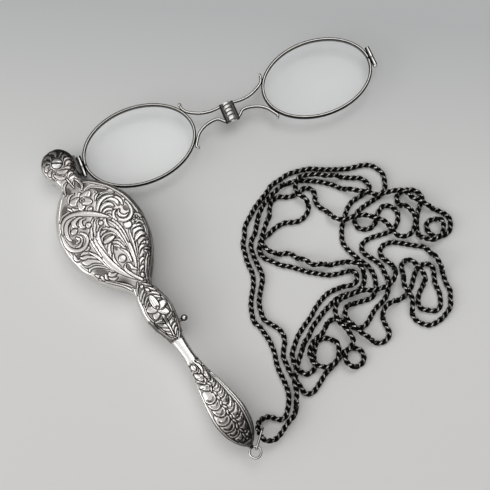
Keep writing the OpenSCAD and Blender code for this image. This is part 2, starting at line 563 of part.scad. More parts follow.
// Eye soldered into the tail, and the oval link that joins it to the chain
eye_r = (eye_d - eye_wire) / 2;
eye_y = -tail_y - eye_r - eye_wire / 2 - 0.25;
link_turn = 38;
link_start = eye_r - eye_wire / 2 - link_wire / 2 - 0.12;
module tail_eye() color("silver") {
    translate([0, eye_y, mid_z]) rotate_extrude($fn = 64) translate([eye_r, 0])
        circle(d = eye_wire, $fn = 24);
    difference() {
        translate([0, eye_y + eye_r, mid_z]) rotate([-90, 0, 0])
            cylinder(d = shank_d, h = -tail_y + shank_in - eye_y - eye_r, $fn = 32);
        translate([0, eye_y, mid_z - 3]) cylinder(r = eye_r, h = 6, $fn = 64);
    }
}
function link_point(u) = let (r = (link_h - link_wire) / 2, run_l = link_l - link_h)
    u < 90 ? [run_l / 2 + r * sin(2 * u), r * cos(2 * u)] : u < 180 ? [run_l / 2 - run_l * (u - 90) / 90, -r]
    : u < 270 ? [-run_l / 2 - r * sin(2 * (u - 180)), -r * cos(2 * (u - 180))]
    : [-run_l / 2 + run_l * (u - 270) / 90, r];
LINK_TURNS = concat([for (i = [0 : 8]) 11.25 * i], [135], [for (i = [0 : 8]) 180 + 11.25 * i], [315]);
module oval_link() color("silver") translate([0, eye_y, mid_z]) rotate([0, 0, link_turn])
    translate([link_start + (link_l - link_wire) / 2, 0, 0]) rotate([90, 0, 0]) closed_tube(
        [for (u = LINK_TURNS) let (p = link_point(u)) [p[0], p[1], 0]],
        link_wire / 2, 8);
module closed_tube(p, r, sides) {
    n = len(p);
    polyhedron([for (i = [0 : n - 1])
            let (t = unit(p[(i + 1) % n] - p[(i + n - 1) % n])) each ring(p[i], t, r, sides)],
        [for (i = [0 : n - 1]) for (k = [0 : sides - 1])
            let (next = ((i + 1) % n) * sides, k2 = (k + 1) % sides,
                 a = i * sides + k, b = i * sides + k2, c = next + k, d = next + k2)
            each [[a, b, d], [a, d, c]]], 4);
}
// Chain: one long loop through the link, heaped on the surface beside the handle.
// A point is [x, y] where the chain lies on the surface; a third number is how high its underside is.
chain_gap = 0.42;
up = chain_d + chain_gap;
at_link = mid_z - 0.25 - chain_d / 2;
CHAIN_ROUTE = [
    [4.3, -69.75, at_link], [4.3, -69.05, at_link], [4.6, -68.2, at_link - 0.4], [5.2, -67.3, 3.9],
    [6.1, -66.6, 3.1], [7.4, -66.3, 2.2], [8.8, -66.5, 1.4], [10.2, -67.2, 0.6], [11.1, -68.5, 0.1],
    [12.3, -69.6], [14, -69.6],
    // From the link, up the bundle and round the far top loop
    [15.5, -68.5], [17, -67], [18.5, -65], [19.5, -62.5], [20, -60], [20.5, -57], [21.5, -54],
    [22.5, -52], [23, -50], [23.5, -47.5], [23.5, -45], [23.5, -42.5], [23, -40], [24, -37.5],
    [25, -35.5], [27, -33], [29, -31], [30.5, -29], [31.5, -27], [32, -24.5], [32.5, -22.5], [33.5, -20],
    [34.5, -17.5], [36.5, -15.5], [38.5, -13], [42, -11], [45, -9.5], [48, -8.5], [51, -7.5],
    [53.5, -6.5], [57, -6.5], [60, -6.5], [63.5, -7.5], [67, -9], [69.5, -11], [73, -13.5], [77, -16],
    [79.5, -17], [82, -18], [84, -19.5], [85, -21.5], [85.5, -24], [84.5, -26.5], [83, -28.5],
    [80.5, -29.5], [78, -29.5],
    // Small loops under the top loop, and down into the heap
    [75.5, -29.5], [73, -29.5], [70.5, -30], [68.5, -31.5], [68, -34], [69, -35.5], [71, -36.5],
    [73.5, -36], [75, -34.5], [77, -33.5], [79, -33], [81, -34.5], [81.5, -37], [80.5, -39],
    [78.5, -40.5], [76, -41], [73.5, -40.5], [70.5, -39.5], [68, -39], [65.5, -39.5], [64.5, -41.5],
    [65, -43.5], [66, -46], [66.5, -48.5], [66, -51], [65.5, -53.5], [64, -55.5], [62.5, -57], [60, -58],
    [57, -58.5], [54.5, -59.5], [52.5, -60.5], [50, -61], [48, -60], [46.5, -58], [46, -56], [44.5, -54],
    [42, -53.5], [40, -54.5, up], [38, -55.5, up],
    // Round the double ring and back up the long diagonal
    [34.5, -56, up], [32.5, -57, up], [31, -58.5, up], [30.5, -61.5, up], [31.5, -63.5, up],
    [33.5, -65, up], [36.5, -65, up], [38.5, -63.5, up], [40, -61, up], [39.5, -58.5], [38, -57],
    [35.5, -56.5], [33.5, -58], [32, -59.5], [31, -61.5], [29.5, -63], [27, -63], [26, -61.5],
    [25.5, -59.5], [26, -57], [27, -55], [29, -53.5], [31, -52], [33, -51], [35.5, -50], [38.5, -49],
    [41.5, -47.5], [44.5, -46.5], [47.5, -46], [50.5, -46.5], [52.5, -47.5, up], [55, -48.5, up],
    [57, -48, up], [58, -46, up], [57, -44], [54.5, -43], [52, -42], [50, -40.5], [48, -38.5],
    [46, -36.5], [44.5, -34.5], [42.5, -32], [40.5, -30], [39, -27.5], [37.5, -25], [37.5, -22.5],
    // Round the open loop at the upper left and back over the top
    [39, -20.5], [41, -19.5], [43, -19.5], [45.5, -19], [48, -19], [50, -19.5], [52.5, -21],
    [54.5, -21.5], [57, -21], [59, -19.5], [59.5, -17, up], [58.5, -14.5, up], [59, -12, up],
    [60.5, -10.5, up], [62.5, -10, up], [65, -11, up], [67.5, -12.5, up], [69.5, -14.5, up],
    [72, -16, up], [74, -17.5], [76.5, -19.5], [78.5, -21], [79.5, -23.5], [79, -25.5], [76.5, -26],
    [73.5, -26], [71.5, -26], [69, -27], [67, -28.5], [65, -30], [63.5, -31.5], [62, -33.5], [61, -35.5],
    [61, -38], [61.5, -40.5], [62, -43], [63, -46], [63, -49], [62, -51.5], [60.5, -53.5], [58, -55],
    [55.5, -54.5], [52.5, -53.5],
    // Lower loop, inner arc and outer arc of the heap
    [49.5, -53, up], [47.5, -54.5, up], [47, -56.5, up], [47.5, -59, up], [48, -62, up], [49, -64.5, up],
    [50.5, -67.5], [53, -68.5], [55.5, -67.5], [56, -65.5], [56.5, -63], [57.5, -61, up],
    [59.5, -60, up], [62, -60, up], [64.5, -60.5], [67, -60.5], [70, -59.5], [72, -58], [74, -56.5],
    [76.5, -55.5], [79, -56.5], [79.5, -58.5], [78.5, -60.5], [77, -63], [76.5, -65.5], [75.5, -67.5],
    [74, -69.5], [72, -70], [70, -68.5], [68.5, -66.5], [69, -64.5], [71, -62.5], [73, -61.5],
    [75, -60, up], [75.5, -58, up], [75.5, -55.5, up], [75, -53, up], [73.5, -51.5], [71.5, -52.5],
    [70.5, -55], [69, -56.5, up], [68, -58.5, up], [68, -61, up], [67.5, -63, up], [66, -65, up],
    [65, -67], [65, -69], [66, -71], [67.5, -72.5], [69.5, -73], [72, -73], [74, -72.5], [76.5, -71.5],
    [78, -69.5], [79.5, -67.5], [80, -64.5], [81, -62], [81.5, -59.5, up], [82, -56.5, up], [82, -54],
    [81.5, -51.5], [79.5, -49.5], [77.5, -47.5], [75.5, -45.5], [73.5, -44], [71, -43.5], [69, -44.5],
    [68.5, -46.5], [69, -48.5], [69.5, -50.5], [68.5, -53, up],
    // Out of the heap to the small ring and the side loop
    [66.5, -54.5, up], [64, -55, up], [61.5, -54.5, up], [59, -53.5, up], [57, -52, up], [54, -51, up],
    [51.5, -50.5, up], [49, -50, up], [46.5, -51, up], [45, -53, up], [44.5, -55.5, up], [45, -58, up],
    [45, -60.5, up], [44.5, -63, up], [42.5, -64, up], [40.5, -64.5, up], [39, -66.5, up],
    [39.5, -69, up], [41.5, -70], [44, -69.5], [45, -67], [44, -65], [42, -64], [39.5, -64], [37, -65],
    [34.5, -65.5], [32, -66], [29.5, -67], [27, -68], [25, -68.5], [23, -67.5], [23, -65],
    // Up the bundle again and across the top to the right loops
    [23, -62.5], [23, -59.5], [23.5, -57], [24, -54.5], [25.5, -52.5], [27, -51], [28, -49], [28, -46.5],
    [27, -44], [26, -41.5], [26.5, -39], [27.5, -36.5], [29, -34.5], [31, -32.5], [33, -30.5],
    [34, -28.5], [34.5, -25.5], [35, -23], [36, -20], [37.5, -18], [40, -16.5], [42, -14.5],
    [44.5, -12.5, up], [47, -11, up], [50, -10, up], [52.5, -9.5, up], [55.5, -9, up], [58, -9],
    [61, -10], [63.5, -11.5], [66, -13.5], [68, -15.5], [70, -18], [71.5, -20.5], [73.5, -23, up],
    [75.5, -25, up], [77.5, -27, up], [79, -29, up], [81.5, -30, up], [84, -31, up], [86, -32, up],
    [87.5, -34, up], [88, -36.5, up], [89.5, -39, up], [90.5, -41.5, up], [92, -43.5], [93.5, -46],
    [94, -48.5], [92.5, -51], [90.5, -52], [87.5, -51.5], [86, -49.5], [86, -47], [87.5, -45.5],
    [90, -46], [91, -48, up], [90, -50, up], [88, -51.5, up], [85, -51.5, up], [83, -49.5, up],
    [82.5, -47.5], [83.5, -45], [85, -43], [87, -41], [89, -39.5], [91, -38],
    // Back over the small loops, down the left and along the middle
    [91, -35.5], [89.5, -33.5], [87, -32.5], [84.5, -33], [83.5, -35.5], [84.5, -37.5, up],
    [85, -40, up], [84.5, -42.5, up], [83, -44, up], [81, -45.5, up], [78.5, -45.5, up], [76.5, -44, up],
    [76, -41.5, up], [76, -39, up], [75.5, -37, up], [74, -35, up], [72.5, -33, up], [70.5, -31.5, up],
    [68, -30.5, up], [66, -30, up], [64, -28.5, up], [63, -26.5, up], [63, -24], [62, -21.5], [62, -19],
    [63, -17.5], [63.5, -15.5], [62, -13.5], [60, -13.5], [57.5, -13.5], [55, -12.5], [53, -11],
    [50.5, -11], [48.5, -12.5], [47, -14.5], [45, -16, up], [43, -17.5, up], [41, -19, up],
    [39.5, -21, up], [39.5, -23.5, up], [40.5, -25.5, up], [42.5, -27], [45, -28.5], [46, -31],
    [47.5, -33.5, up], [48.5, -36, up], [51, -37.5, up], [53.5, -39], [56, -40], [58.5, -42, up],
    [60.5, -44, up], [60.5, -46.5, up], [59.5, -49], [57, -50.5], [54, -50.5],
    // Second diagonal, and down the bundle to the link
    [51.5, -49.5], [48.5, -49], [45.5, -49.5], [43, -50], [40, -51], [37, -52], [34.5, -53.5],
    [32, -54.5], [30, -56, up], [28, -57.5, up], [26, -59, up], [24, -61, up], [22, -63, up],
    [21, -65.5, up], [19.5, -67.5, up], [18, -69.5], [16, -71, up], [14, -71.5, up],
    [12, -72.2, up], [10.3, -72.9, up], [8.6, -73.4, up + 0.1], [7, -73.5, up + 0.6], [5.5, -72.9, 3.3],
    [4.5, -72, 4.1], [4.2, -71, at_link - 0.1], [4.3, -70.25, at_link]];
CHAIN_STEP = 3.2;
function underside(p) = len(p) > 2 ? p[2] : 0;
function span_steps(p, i) = max(1, ceil(norm(p[i + 1] - p[i]) / CHAIN_STEP - 0.25));
function chain_rings() = let (
    plan = [for (p = CHAIN_ROUTE) [p[0], p[1]]],
    last = len(plan) - 1)
    [for (i = [0 : last - 1]) let (n = span_steps(plan, i)) for (k = [0 : n - 1])
        let (u = k / n, q = between(plan, i, u),
             a = underside(CHAIN_ROUTE[i]), b = underside(CHAIN_ROUTE[i + 1]))
        [q[0], q[1], chain_d / 2 + a + (b - a) * u * u * (3 - 2 * u)],
     [plan[last][0], plan[last][1], chain_d / 2 + underside(CHAIN_ROUTE[last])]];
function to_segment(q, a, b) = let (v = b - a, t = min(1, max(0, (q - a) * v / (v * v)))) norm(q - a - t * v);
function chain_length(r) = let (d = [for (i = [1 : len(r) - 1]) norm(r[i] - r[i - 1])]) d * [for (v = d) 1];
// Least gap of the chain to itself, from quarter points of each stretch to every stretch near it.
// Its two ends meet in the link and don't count.
function least_gap(r) = min([for (i = [0 : len(r) - 2]) for (j = [0 : len(r) - 2])
    if (abs(i - j) > 3 && abs(i - j) < len(r) - 5
        && abs(r[i][0] - r[j][0]) < 7 && abs(r[i][1] - r[j][1]) < 7)
        for (t = [0 : 3]) to_segment(r[i] + t / 4 * (r[i + 1] - r[i]), r[j], r[j + 1])]) - chain_d;
module neck_chain() {
    rings = chain_rings();
    echo(chain_length = chain_length(rings), least_gap = least_gap(rings), rings = len(rings));
    color("darkslategray") tube(rings, chain_d / 2, 6);
}

front_shell();
back_shell();
side_band();
front_pivot_plate();
back_pivot_plate();
pivot_screw();
pivot_nut();
pivot_tongue();
pivot_spring();
latch_guide();
release_latch();
release_knob();
latch_spring();
spring_seat();
near_rim();
near_lens();
near_upper_tube();
near_lower_tube();
near_closing_screw();
near_upper_arm();
near_lower_arm();
near_leaf();
bridge_pin();
bridge_spring();
far_leaf();
far_upper_arm();
far_lower_arm();
far_rim();
far_lens();
far_upper_tube();
far_lower_tube();
far_closing_screw();
tail_eye();
oval_link();
neck_chain();
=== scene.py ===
import math

import bpy
import numpy as np
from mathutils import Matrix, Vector


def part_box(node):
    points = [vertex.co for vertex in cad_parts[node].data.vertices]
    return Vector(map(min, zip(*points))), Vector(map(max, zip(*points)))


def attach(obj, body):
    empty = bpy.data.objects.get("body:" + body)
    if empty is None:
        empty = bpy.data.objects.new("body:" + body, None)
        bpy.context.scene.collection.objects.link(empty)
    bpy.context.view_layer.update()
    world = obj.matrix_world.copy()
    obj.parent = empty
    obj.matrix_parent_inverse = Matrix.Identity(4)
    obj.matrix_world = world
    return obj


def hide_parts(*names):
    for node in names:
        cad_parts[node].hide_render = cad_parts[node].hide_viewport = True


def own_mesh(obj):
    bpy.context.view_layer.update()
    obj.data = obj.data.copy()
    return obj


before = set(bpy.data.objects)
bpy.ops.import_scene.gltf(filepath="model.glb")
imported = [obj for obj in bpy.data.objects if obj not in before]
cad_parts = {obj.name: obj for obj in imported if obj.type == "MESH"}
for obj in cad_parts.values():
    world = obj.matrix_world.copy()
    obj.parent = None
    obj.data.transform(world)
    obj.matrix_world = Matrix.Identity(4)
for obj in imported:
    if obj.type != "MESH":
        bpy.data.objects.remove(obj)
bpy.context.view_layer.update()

# The photographer's table: pale grey paper, a large soft window of light from above and behind, a weaker
# card of light at the left, and a camera that looks down from the near left. The part itself lies turned
# 35 degrees in the picture.
CAMERA_AT = (-0.01255, -0.08588, 0.31006)
LOOKS_AT = (0.0351, -0.01783, 0)


def place(name, data, at=(0, 0, 0), aim=None):
    """Puts new data in the scene as an object, turned towards a place if one is given."""
    thing = bpy.data.objects.new(name, data)
    thing.location = at
    if aim:
        thing.rotation_euler = (Vector(aim) - Vector(at)).to_track_quat("-Z", "Y").to_euler()
    bpy.context.scene.collection.objects.link(thing)
    return thing


camera = place("camera", bpy.data.cameras.new("camera"), CAMERA_AT, LOOKS_AT)
camera.data.sensor_width = 36
camera.data.lens = 73.47
camera.data.clip_start = 0.01
camera.data.clip_end = 10
bpy.context.scene.camera = camera


def new_material(name, inputs):
    """A material with its shader's values set, and its node tree and shader to build on."""
    material = bpy.data.materials.new(name)
    material.use_nodes = True
    shader = material.node_tree.nodes["Principled BSDF"]
    for key, value in inputs.items():
        shader.inputs[key].default_value = value
    return material, material.node_tree, shader


def add_node(tree, kind, inputs=None, **settings):
    """One shader node, with its settings and then its input values."""
    node = tree.nodes.new("ShaderNode" + kind)
    for key, value in settings.items():
        setattr(node, key, value)
    for key, value in (inputs or {}).items():
        node.inputs[key].default_value = value
    return node


def tone_ramp(tree, low, high, *between):
    """A colour ramp: a place and a colour for its two ends, and then for the stops between them."""
    ramp = tree.nodes.new("ShaderNodeValToRGB")
    stops = ramp.color_ramp.elements
    for stop, (spot, colour) in zip(stops, (low, high)):
        stop.position = spot
        stop.color = (*colour, 1)
    for spot, colour in between:
        stops.new(spot).color = (*colour, 1)
    return ramp


def wire_nodes(tree, *links):
    for a, out, b, into in links:
        tree.links.new(a.outputs[out], b.inputs[into])


# The paper's colour is painted darker towards the far side: painted shade, for the light falling off there.
paper, tree, shader = new_material("pale grey paper", {"Roughness": 0.85, "Specular IOR Level": 0.15})
table_place = add_node(tree, "TexCoord")
toward_wall = add_node(tree, "VectorMath", {1: (0.63, 0.77, 0)}, operation="DOT_PRODUCT")
from_front = add_node(tree, "MapRange", {"From Min": -0.06, "From Max": 0.09})
paper_painted_falloff = tone_ramp(tree, (0, (0.87, 0.86, 0.845)), (1, (0.62, 0.628, 0.635)), (0.55, (0.86, 0.86, 0.85)))
grain = add_node(tree, "TexNoise", {"Scale": 900})
grain_bump = add_node(tree, "Bump", {"Strength": 0.04, "Distance": 0.0002})
wire_nodes(tree, (table_place, "Object", toward_wall, 0), (toward_wall, "Value", from_front, "Value"),
           (from_front, "Result", paper_painted_falloff, "Fac"), (paper_painted_falloff, "Color", shader, "Base Color"),
           (grain, "Fac", grain_bump, "Height"), (grain_bump, "Normal", shader, "Normal"))

MM = 0.001
TABLE_HALF = 3000


def mesh_piece(name, points, faces, smooth=False):
    """A mesh object from points in millimetres."""
    mesh = bpy.data.meshes.new(name)
    mesh.from_pydata((np.array(points, float) * MM).tolist(), [], faces)
    mesh.polygons.foreach_set("use_smooth", np.full(len(faces), smooth))
    return place(name, mesh)


corners = [(TABLE_HALF * x, TABLE_HALF * y, 0) for x, y in ((-1, -1), (1, -1), (1, 1), (-1, 1))]
table_paper = mesh_piece("table_paper", corners, [(0, 1, 2, 3)])
table_paper.data.materials.append(paper)


def soft_light(name, at, size, watts, colour):
    light = bpy.data.lights.new(name, "AREA")
    light.shape = "RECTANGLE"
    light.size, light.size_y = size
    light.energy = watts
    light.color = colour
    place(name, light, at, (0.03, 0, 0))


soft_light("window", (0.4, 0.24, 0.98), (0.6, 0.6), 2.2, (1, 0.995, 0.98))
soft_light("left_card", (-0.8, 0.15, 0.35), (0.5, 0.4), 1.7, (1, 1, 1))

# The room: bright above and to the left, and dark along its far and right sides, as the silver mirrors it.
world = bpy.data.worlds.new("studio")
world.use_nodes = True
bpy.context.scene.world = world
tree = world.node_tree
sky = tree.nodes["Background"]
where = add_node(tree, "TexCoord")
toward_card = add_node(tree, "VectorMath", {1: (-0.62, 0.06, 0.78)}, operation="DOT_PRODUCT")
room = tone_ramp(tree, (0, (0.03, 0.03, 0.033)), (1, (1, 1, 0.99)), (0.25, (0.12, 0.12, 0.12)),
                 (0.6, (0.4, 0.4, 0.4)), (0.8, (0.75, 0.75, 0.75)))
wire_nodes(tree, (where, "Generated", toward_card, 0), (toward_card, "Value", room, "Fac"),
           (room, "Color", sky, "Color"))
sky.inputs["Strength"].default_value = 1.0
bpy.context.scene.view_settings.view_transform = "Standard"

# Neck chain: one closed rope chain of small silver wire rings, twisted so that two ridges wind round it.
# It is oxidised black and worn bright on the ridges, and the ridges are painted brighter where they face up,
# a painted highlight. It runs through the oval link and lies in a loose heap.
CHAIN_D = 1.75
CHAIN_LAY = 4.2
RING_PITCH = 0.55
STRAND_SIDES = 8
STRAND_OUT = 0.43
STRAND_HALF = (0.44, 0.6)
STEPS_A_LAY = 12
# How much higher the chain's underside is where it crosses over itself, and at the link
up = CHAIN_D + 0.42
at_link = 6 - 0.25 - CHAIN_D / 2
CHAIN_ROUTE = [
    [4.3, -69.75, at_link], [4.3, -69.05, at_link], [4.6, -68.2, at_link - 0.4], [5.2, -67.3, 3.9],
    [6.1, -66.6, 3.1], [7.4, -66.3, 2.2], [8.8, -66.5, 1.4], [10.2, -67.2, 0.6], [11.1, -68.5, 0.1],
    [12.3, -69.6], [14, -69.6],
    # From the link, up the bundle and round the far top loop
    [15.5, -68.5], [17, -67], [18.5, -65], [19.5, -62.5], [20, -60], [20.5, -57], [21.5, -54],
    [22.5, -52], [23, -50], [23.5, -47.5], [23.5, -45], [23.5, -42.5], [23, -40], [24, -37.5],
    [25, -35.5], [27, -33], [29, -31], [30.5, -29], [31.5, -27], [32, -24.5], [32.5, -22.5], [33.5, -20],
    [34.5, -17.5], [36.5, -15.5], [38.5, -13], [42, -11], [45, -9.5], [48, -8.5], [51, -7.5],
    [53.5, -6.5], [57, -6.5], [60, -6.5], [63.5, -7.5], [67, -9], [69.5, -11], [73, -13.5], [77, -16],
    [79.5, -17], [82, -18], [84, -19.5], [85, -21.5], [85.5, -24], [84.5, -26.5], [83, -28.5],
    [80.5, -29.5], [78, -29.5],
    # Small loops under the top loop, and down into the heap
    [75.5, -29.5], [73, -29.5], [70.5, -30], [68.5, -31.5], [68, -34], [69, -35.5], [71, -36.5],
    [73.5, -36], [75, -34.5], [77, -33.5], [79, -33], [81, -34.5], [81.5, -37], [80.5, -39],
    [78.5, -40.5], [76, -41], [73.5, -40.5], [70.5, -39.5], [68, -39], [65.5, -39.5], [64.5, -41.5],
    [65, -43.5], [66, -46], [66.5, -48.5], [66, -51], [65.5, -53.5], [64, -55.5], [62.5, -57], [60, -58],
    [57, -58.5], [54.5, -59.5], [52.5, -60.5], [50, -61], [48, -60], [46.5, -58], [46, -56], [44.5, -54],
    [42, -53.5], [40, -54.5, up], [38, -55.5, up],
    # Round the double ring and back up the long diagonal
    [34.5, -56, up], [32.5, -57, up], [31, -58.5, up], [30.5, -61.5, up], [31.5, -63.5, up],
    [33.5, -65, up], [36.5, -65, up], [38.5, -63.5, up], [40, -61, up], [39.5, -58.5], [38, -57],
    [35.5, -56.5], [33.5, -58], [32, -59.5], [31, -61.5], [29.5, -63], [27, -63], [26, -61.5],
    [25.5, -59.5], [26, -57], [27, -55], [29, -53.5], [31, -52], [33, -51], [35.5, -50], [38.5, -49],
    [41.5, -47.5], [44.5, -46.5], [47.5, -46], [50.5, -46.5], [52.5, -47.5, up], [55, -48.5, up],
    [57, -48, up], [58, -46, up], [57, -44], [54.5, -43], [52, -42], [50, -40.5], [48, -38.5],
    [46, -36.5], [44.5, -34.5], [42.5, -32], [40.5, -30], [39, -27.5], [37.5, -25], [37.5, -22.5],
    # Round the open loop at the upper left and back over the top
    [39, -20.5], [41, -19.5], [43, -19.5], [45.5, -19], [48, -19], [50, -19.5], [52.5, -21],
    [54.5, -21.5], [57, -21], [59, -19.5], [59.5, -17, up], [58.5, -14.5, up], [59, -12, up],
    [60.5, -10.5, up], [62.5, -10, up], [65, -11, up], [67.5, -12.5, up], [69.5, -14.5, up],
    [72, -16, up], [74, -17.5], [76.5, -19.5], [78.5, -21], [79.5, -23.5], [79, -25.5], [76.5, -26],
    [73.5, -26], [71.5, -26], [69, -27], [67, -28.5], [65, -30], [63.5, -31.5], [62, -33.5], [61, -35.5],
    [61, -38], [61.5, -40.5], [62, -43], [63, -46], [63, -49], [62, -51.5], [60.5, -53.5], [58, -55],
    [55.5, -54.5], [52.5, -53.5],
    # Lower loop, inner arc and outer arc of the heap
    [49.5, -53, up], [47.5, -54.5, up], [47, -56.5, up], [47.5, -59, up], [48, -62, up], [49, -64.5, up],
    [50.5, -67.5], [53, -68.5], [55.5, -67.5], [56, -65.5], [56.5, -63], [57.5, -61, up],
    [59.5, -60, up], [62, -60, up], [64.5, -60.5], [67, -60.5], [70, -59.5], [72, -58], [74, -56.5],
    [76.5, -55.5], [79, -56.5], [79.5, -58.5], [78.5, -60.5], [77, -63], [76.5, -65.5], [75.5, -67.5],
    [74, -69.5], [72, -70], [70, -68.5], [68.5, -66.5], [69, -64.5], [71, -62.5], [73, -61.5],
    [75, -60, up], [75.5, -58, up], [75.5, -55.5, up], [75, -53, up], [73.5, -51.5], [71.5, -52.5],
    [70.5, -55], [69, -56.5, up], [68, -58.5, up], [68, -61, up], [67.5, -63, up], [66, -65, up],
    [65, -67], [65, -69], [66, -71], [67.5, -72.5], [69.5, -73], [72, -73], [74, -72.5], [76.5, -71.5],
    [78, -69.5], [79.5, -67.5], [80, -64.5], [81, -62], [81.5, -59.5, up], [82, -56.5, up], [82, -54],
    [81.5, -51.5], [79.5, -49.5], [77.5, -47.5], [75.5, -45.5], [73.5, -44], [71, -43.5], [69, -44.5],
    [68.5, -46.5], [69, -48.5], [69.5, -50.5], [68.5, -53, up],
    # Out of the heap to the small ring and the side loop
    [66.5, -54.5, up], [64, -55, up], [61.5, -54.5, up], [59, -53.5, up], [57, -52, up], [54, -51, up],
    [51.5, -50.5, up], [49, -50, up], [46.5, -51, up], [45, -53, up], [44.5, -55.5, up], [45, -58, up],
    [45, -60.5, up], [44.5, -63, up], [42.5, -64, up], [40.5, -64.5, up], [39, -66.5, up],
    [39.5, -69, up], [41.5, -70], [44, -69.5], [45, -67], [44, -65], [42, -64], [39.5, -64], [37, -65],
    [34.5, -65.5], [32, -66], [29.5, -67], [27, -68], [25, -68.5], [23, -67.5], [23, -65],
    # Up the bundle again and across the top to the right loops
    [23, -62.5], [23, -59.5], [23.5, -57], [24, -54.5], [25.5, -52.5], [27, -51], [28, -49], [28, -46.5],
    [27, -44], [26, -41.5], [26.5, -39], [27.5, -36.5], [29, -34.5], [31, -32.5], [33, -30.5],
    [34, -28.5], [34.5, -25.5], [35, -23], [36, -20], [37.5, -18], [40, -16.5], [42, -14.5],
    [44.5, -12.5, up], [47, -11, up], [50, -10, up], [52.5, -9.5, up], [55.5, -9, up], [58, -9],
    [61, -10], [63.5, -11.5], [66, -13.5], [68, -15.5], [70, -18], [71.5, -20.5], [73.5, -23, up],
    [75.5, -25, up], [77.5, -27, up], [79, -29, up], [81.5, -30, up], [84, -31, up], [86, -32, up],
    [87.5, -34, up], [88, -36.5, up], [89.5, -39, up], [90.5, -41.5, up], [92, -43.5], [93.5, -46],
    [94, -48.5], [92.5, -51], [90.5, -52], [87.5, -51.5], [86, -49.5], [86, -47], [87.5, -45.5],
    [90, -46], [91, -48, up], [90, -50, up], [88, -51.5, up], [85, -51.5, up], [83, -49.5, up],
    [82.5, -47.5], [83.5, -45], [85, -43], [87, -41], [89, -39.5], [91, -38],
    # Back over the small loops, down the left and along the middle
    [91, -35.5], [89.5, -33.5], [87, -32.5], [84.5, -33], [83.5, -35.5], [84.5, -37.5, up],
    [85, -40, up], [84.5, -42.5, up], [83, -44, up], [81, -45.5, up], [78.5, -45.5, up], [76.5, -44, up],
    [76, -41.5, up], [76, -39, up], [75.5, -37, up], [74, -35, up], [72.5, -33, up], [70.5, -31.5, up],
    [68, -30.5, up], [66, -30, up], [64, -28.5, up], [63, -26.5, up], [63, -24], [62, -21.5], [62, -19],
    [63, -17.5], [63.5, -15.5], [62, -13.5], [60, -13.5], [57.5, -13.5], [55, -12.5], [53, -11],
    [50.5, -11], [48.5, -12.5], [47, -14.5], [45, -16, up], [43, -17.5, up], [41, -19, up],
    [39.5, -21, up], [39.5, -23.5, up], [40.5, -25.5, up], [42.5, -27], [45, -28.5], [46, -31],
    [47.5, -33.5, up], [48.5, -36, up], [51, -37.5, up], [53.5, -39], [56, -40], [58.5, -42, up],
    [60.5, -44, up], [60.5, -46.5, up], [59.5, -49], [57, -50.5], [54, -50.5],
    # Second diagonal, and down the bundle to the link
    [51.5, -49.5], [48.5, -49], [45.5, -49.5], [43, -50], [40, -51], [37, -52], [34.5, -53.5],
    [32, -54.5], [30, -56, up], [28, -57.5, up], [26, -59, up], [24, -61, up], [22, -63, up],
    [21, -65.5, up], [19.5, -67.5, up], [18, -69.5], [16, -71, up], [14, -71.5, up],
    [12, -72.2, up], [10.3, -72.9, up], [8.6, -73.4, up + 0.1], [7, -73.5, up + 0.6], [5.5, -72.9, 3.3],
    [4.5, -72, 4.1], [4.2, -71, at_link - 0.1], [4.3, -70.25, at_link]]


def curve_between(a, b, c, d, u):
    u = np.asarray(u, float)[:, None]
    return 0.5 * (2 * b + (c - a) * u + (2 * a - 5 * b + 4 * c - d) * u ** 2
                  + (3 * b - a - 3 * c + d) * u ** 3)


def even_line(line, step):
    """The same line with its points an equal way apart."""
    run = np.concatenate([[0], np.cumsum(np.linalg.norm(np.diff(line, axis=0), axis=1))])
    at = np.linspace(0, run[-1], int(round(run[-1] / step)) + 1)
    return np.stack([np.interp(at, run, line[:, k]) for k in range(3)], 1), at


def unit(v):
    return v / np.linalg.norm(v, axis=-1, keepdims=True)


def turns_of(count):
    return np.arange(count) * 2 * np.pi / count


def sides_of(line, closed=False):
    """Directions beside and above the line at each of its points."""
    along = np.roll(line, -1, 0) - np.roll(line, 1, 0) if closed else np.gradient(line, axis=0)
    along = unit(along)
    beside = unit(np.cross(along, [0, 0, 1.0]))
    return beside, np.cross(beside, along)


def wire_rings(line, beside, above, sides, wide, high=None, lowest=-1):
    """Rings round a line: a wire of that half width and height, filed flat below its lowest share."""
    high = wide if high is None else high
    a = turns_of(sides)[None, :, None]
    across, up = np.cos(a), np.clip(np.sin(a), lowest, 1)
    return line[:, None] + wide * across * beside[:, None] + high * up * above[:, None]


def skin(name, rings, closed=False, flip=False):
    """A smooth mesh over rings of points. Its two ends are capped, or the last ring joins the first."""
    n, m = rings.shape[:2]
    r, c = np.meshgrid(np.arange(n if closed else n - 1), np.arange(m), indexing="ij")
    here, beyond, across = r * m, (r + 1) % n * m, (c + 1) % m
    faces = np.stack([here + c, here + across, beyond + across, beyond + c], -1).reshape(-1, 4).tolist()
    if not closed:
        faces += [list(range(m))[::-1], list(range((n - 1) * m, n * m))]
    if flip:
        faces = [face[::-1] for face in faces]
    return mesh_piece(name, rings.reshape(-1, 3), faces, smooth=True)


def mark(piece, name, values):
    """Writes a number for each point of the mesh, or one for them all, for its material to read."""
    layer = piece.data.attributes.new(name, "FLOAT", "POINT")
    layer.data.foreach_set("value", np.broadcast_to(np.ravel(values), len(layer.data)).astype(np.float32))


def join_meshes(name, pieces):
    bpy.ops.object.select_all(action="DESELECT")
    for piece in pieces:
        piece.select_set(True)
    bpy.context.view_layer.objects.active = pieces[0]
    bpy.ops.object.join()
    pieces[0].name = name
    pieces[0].data.name = name
    return pieces[0]


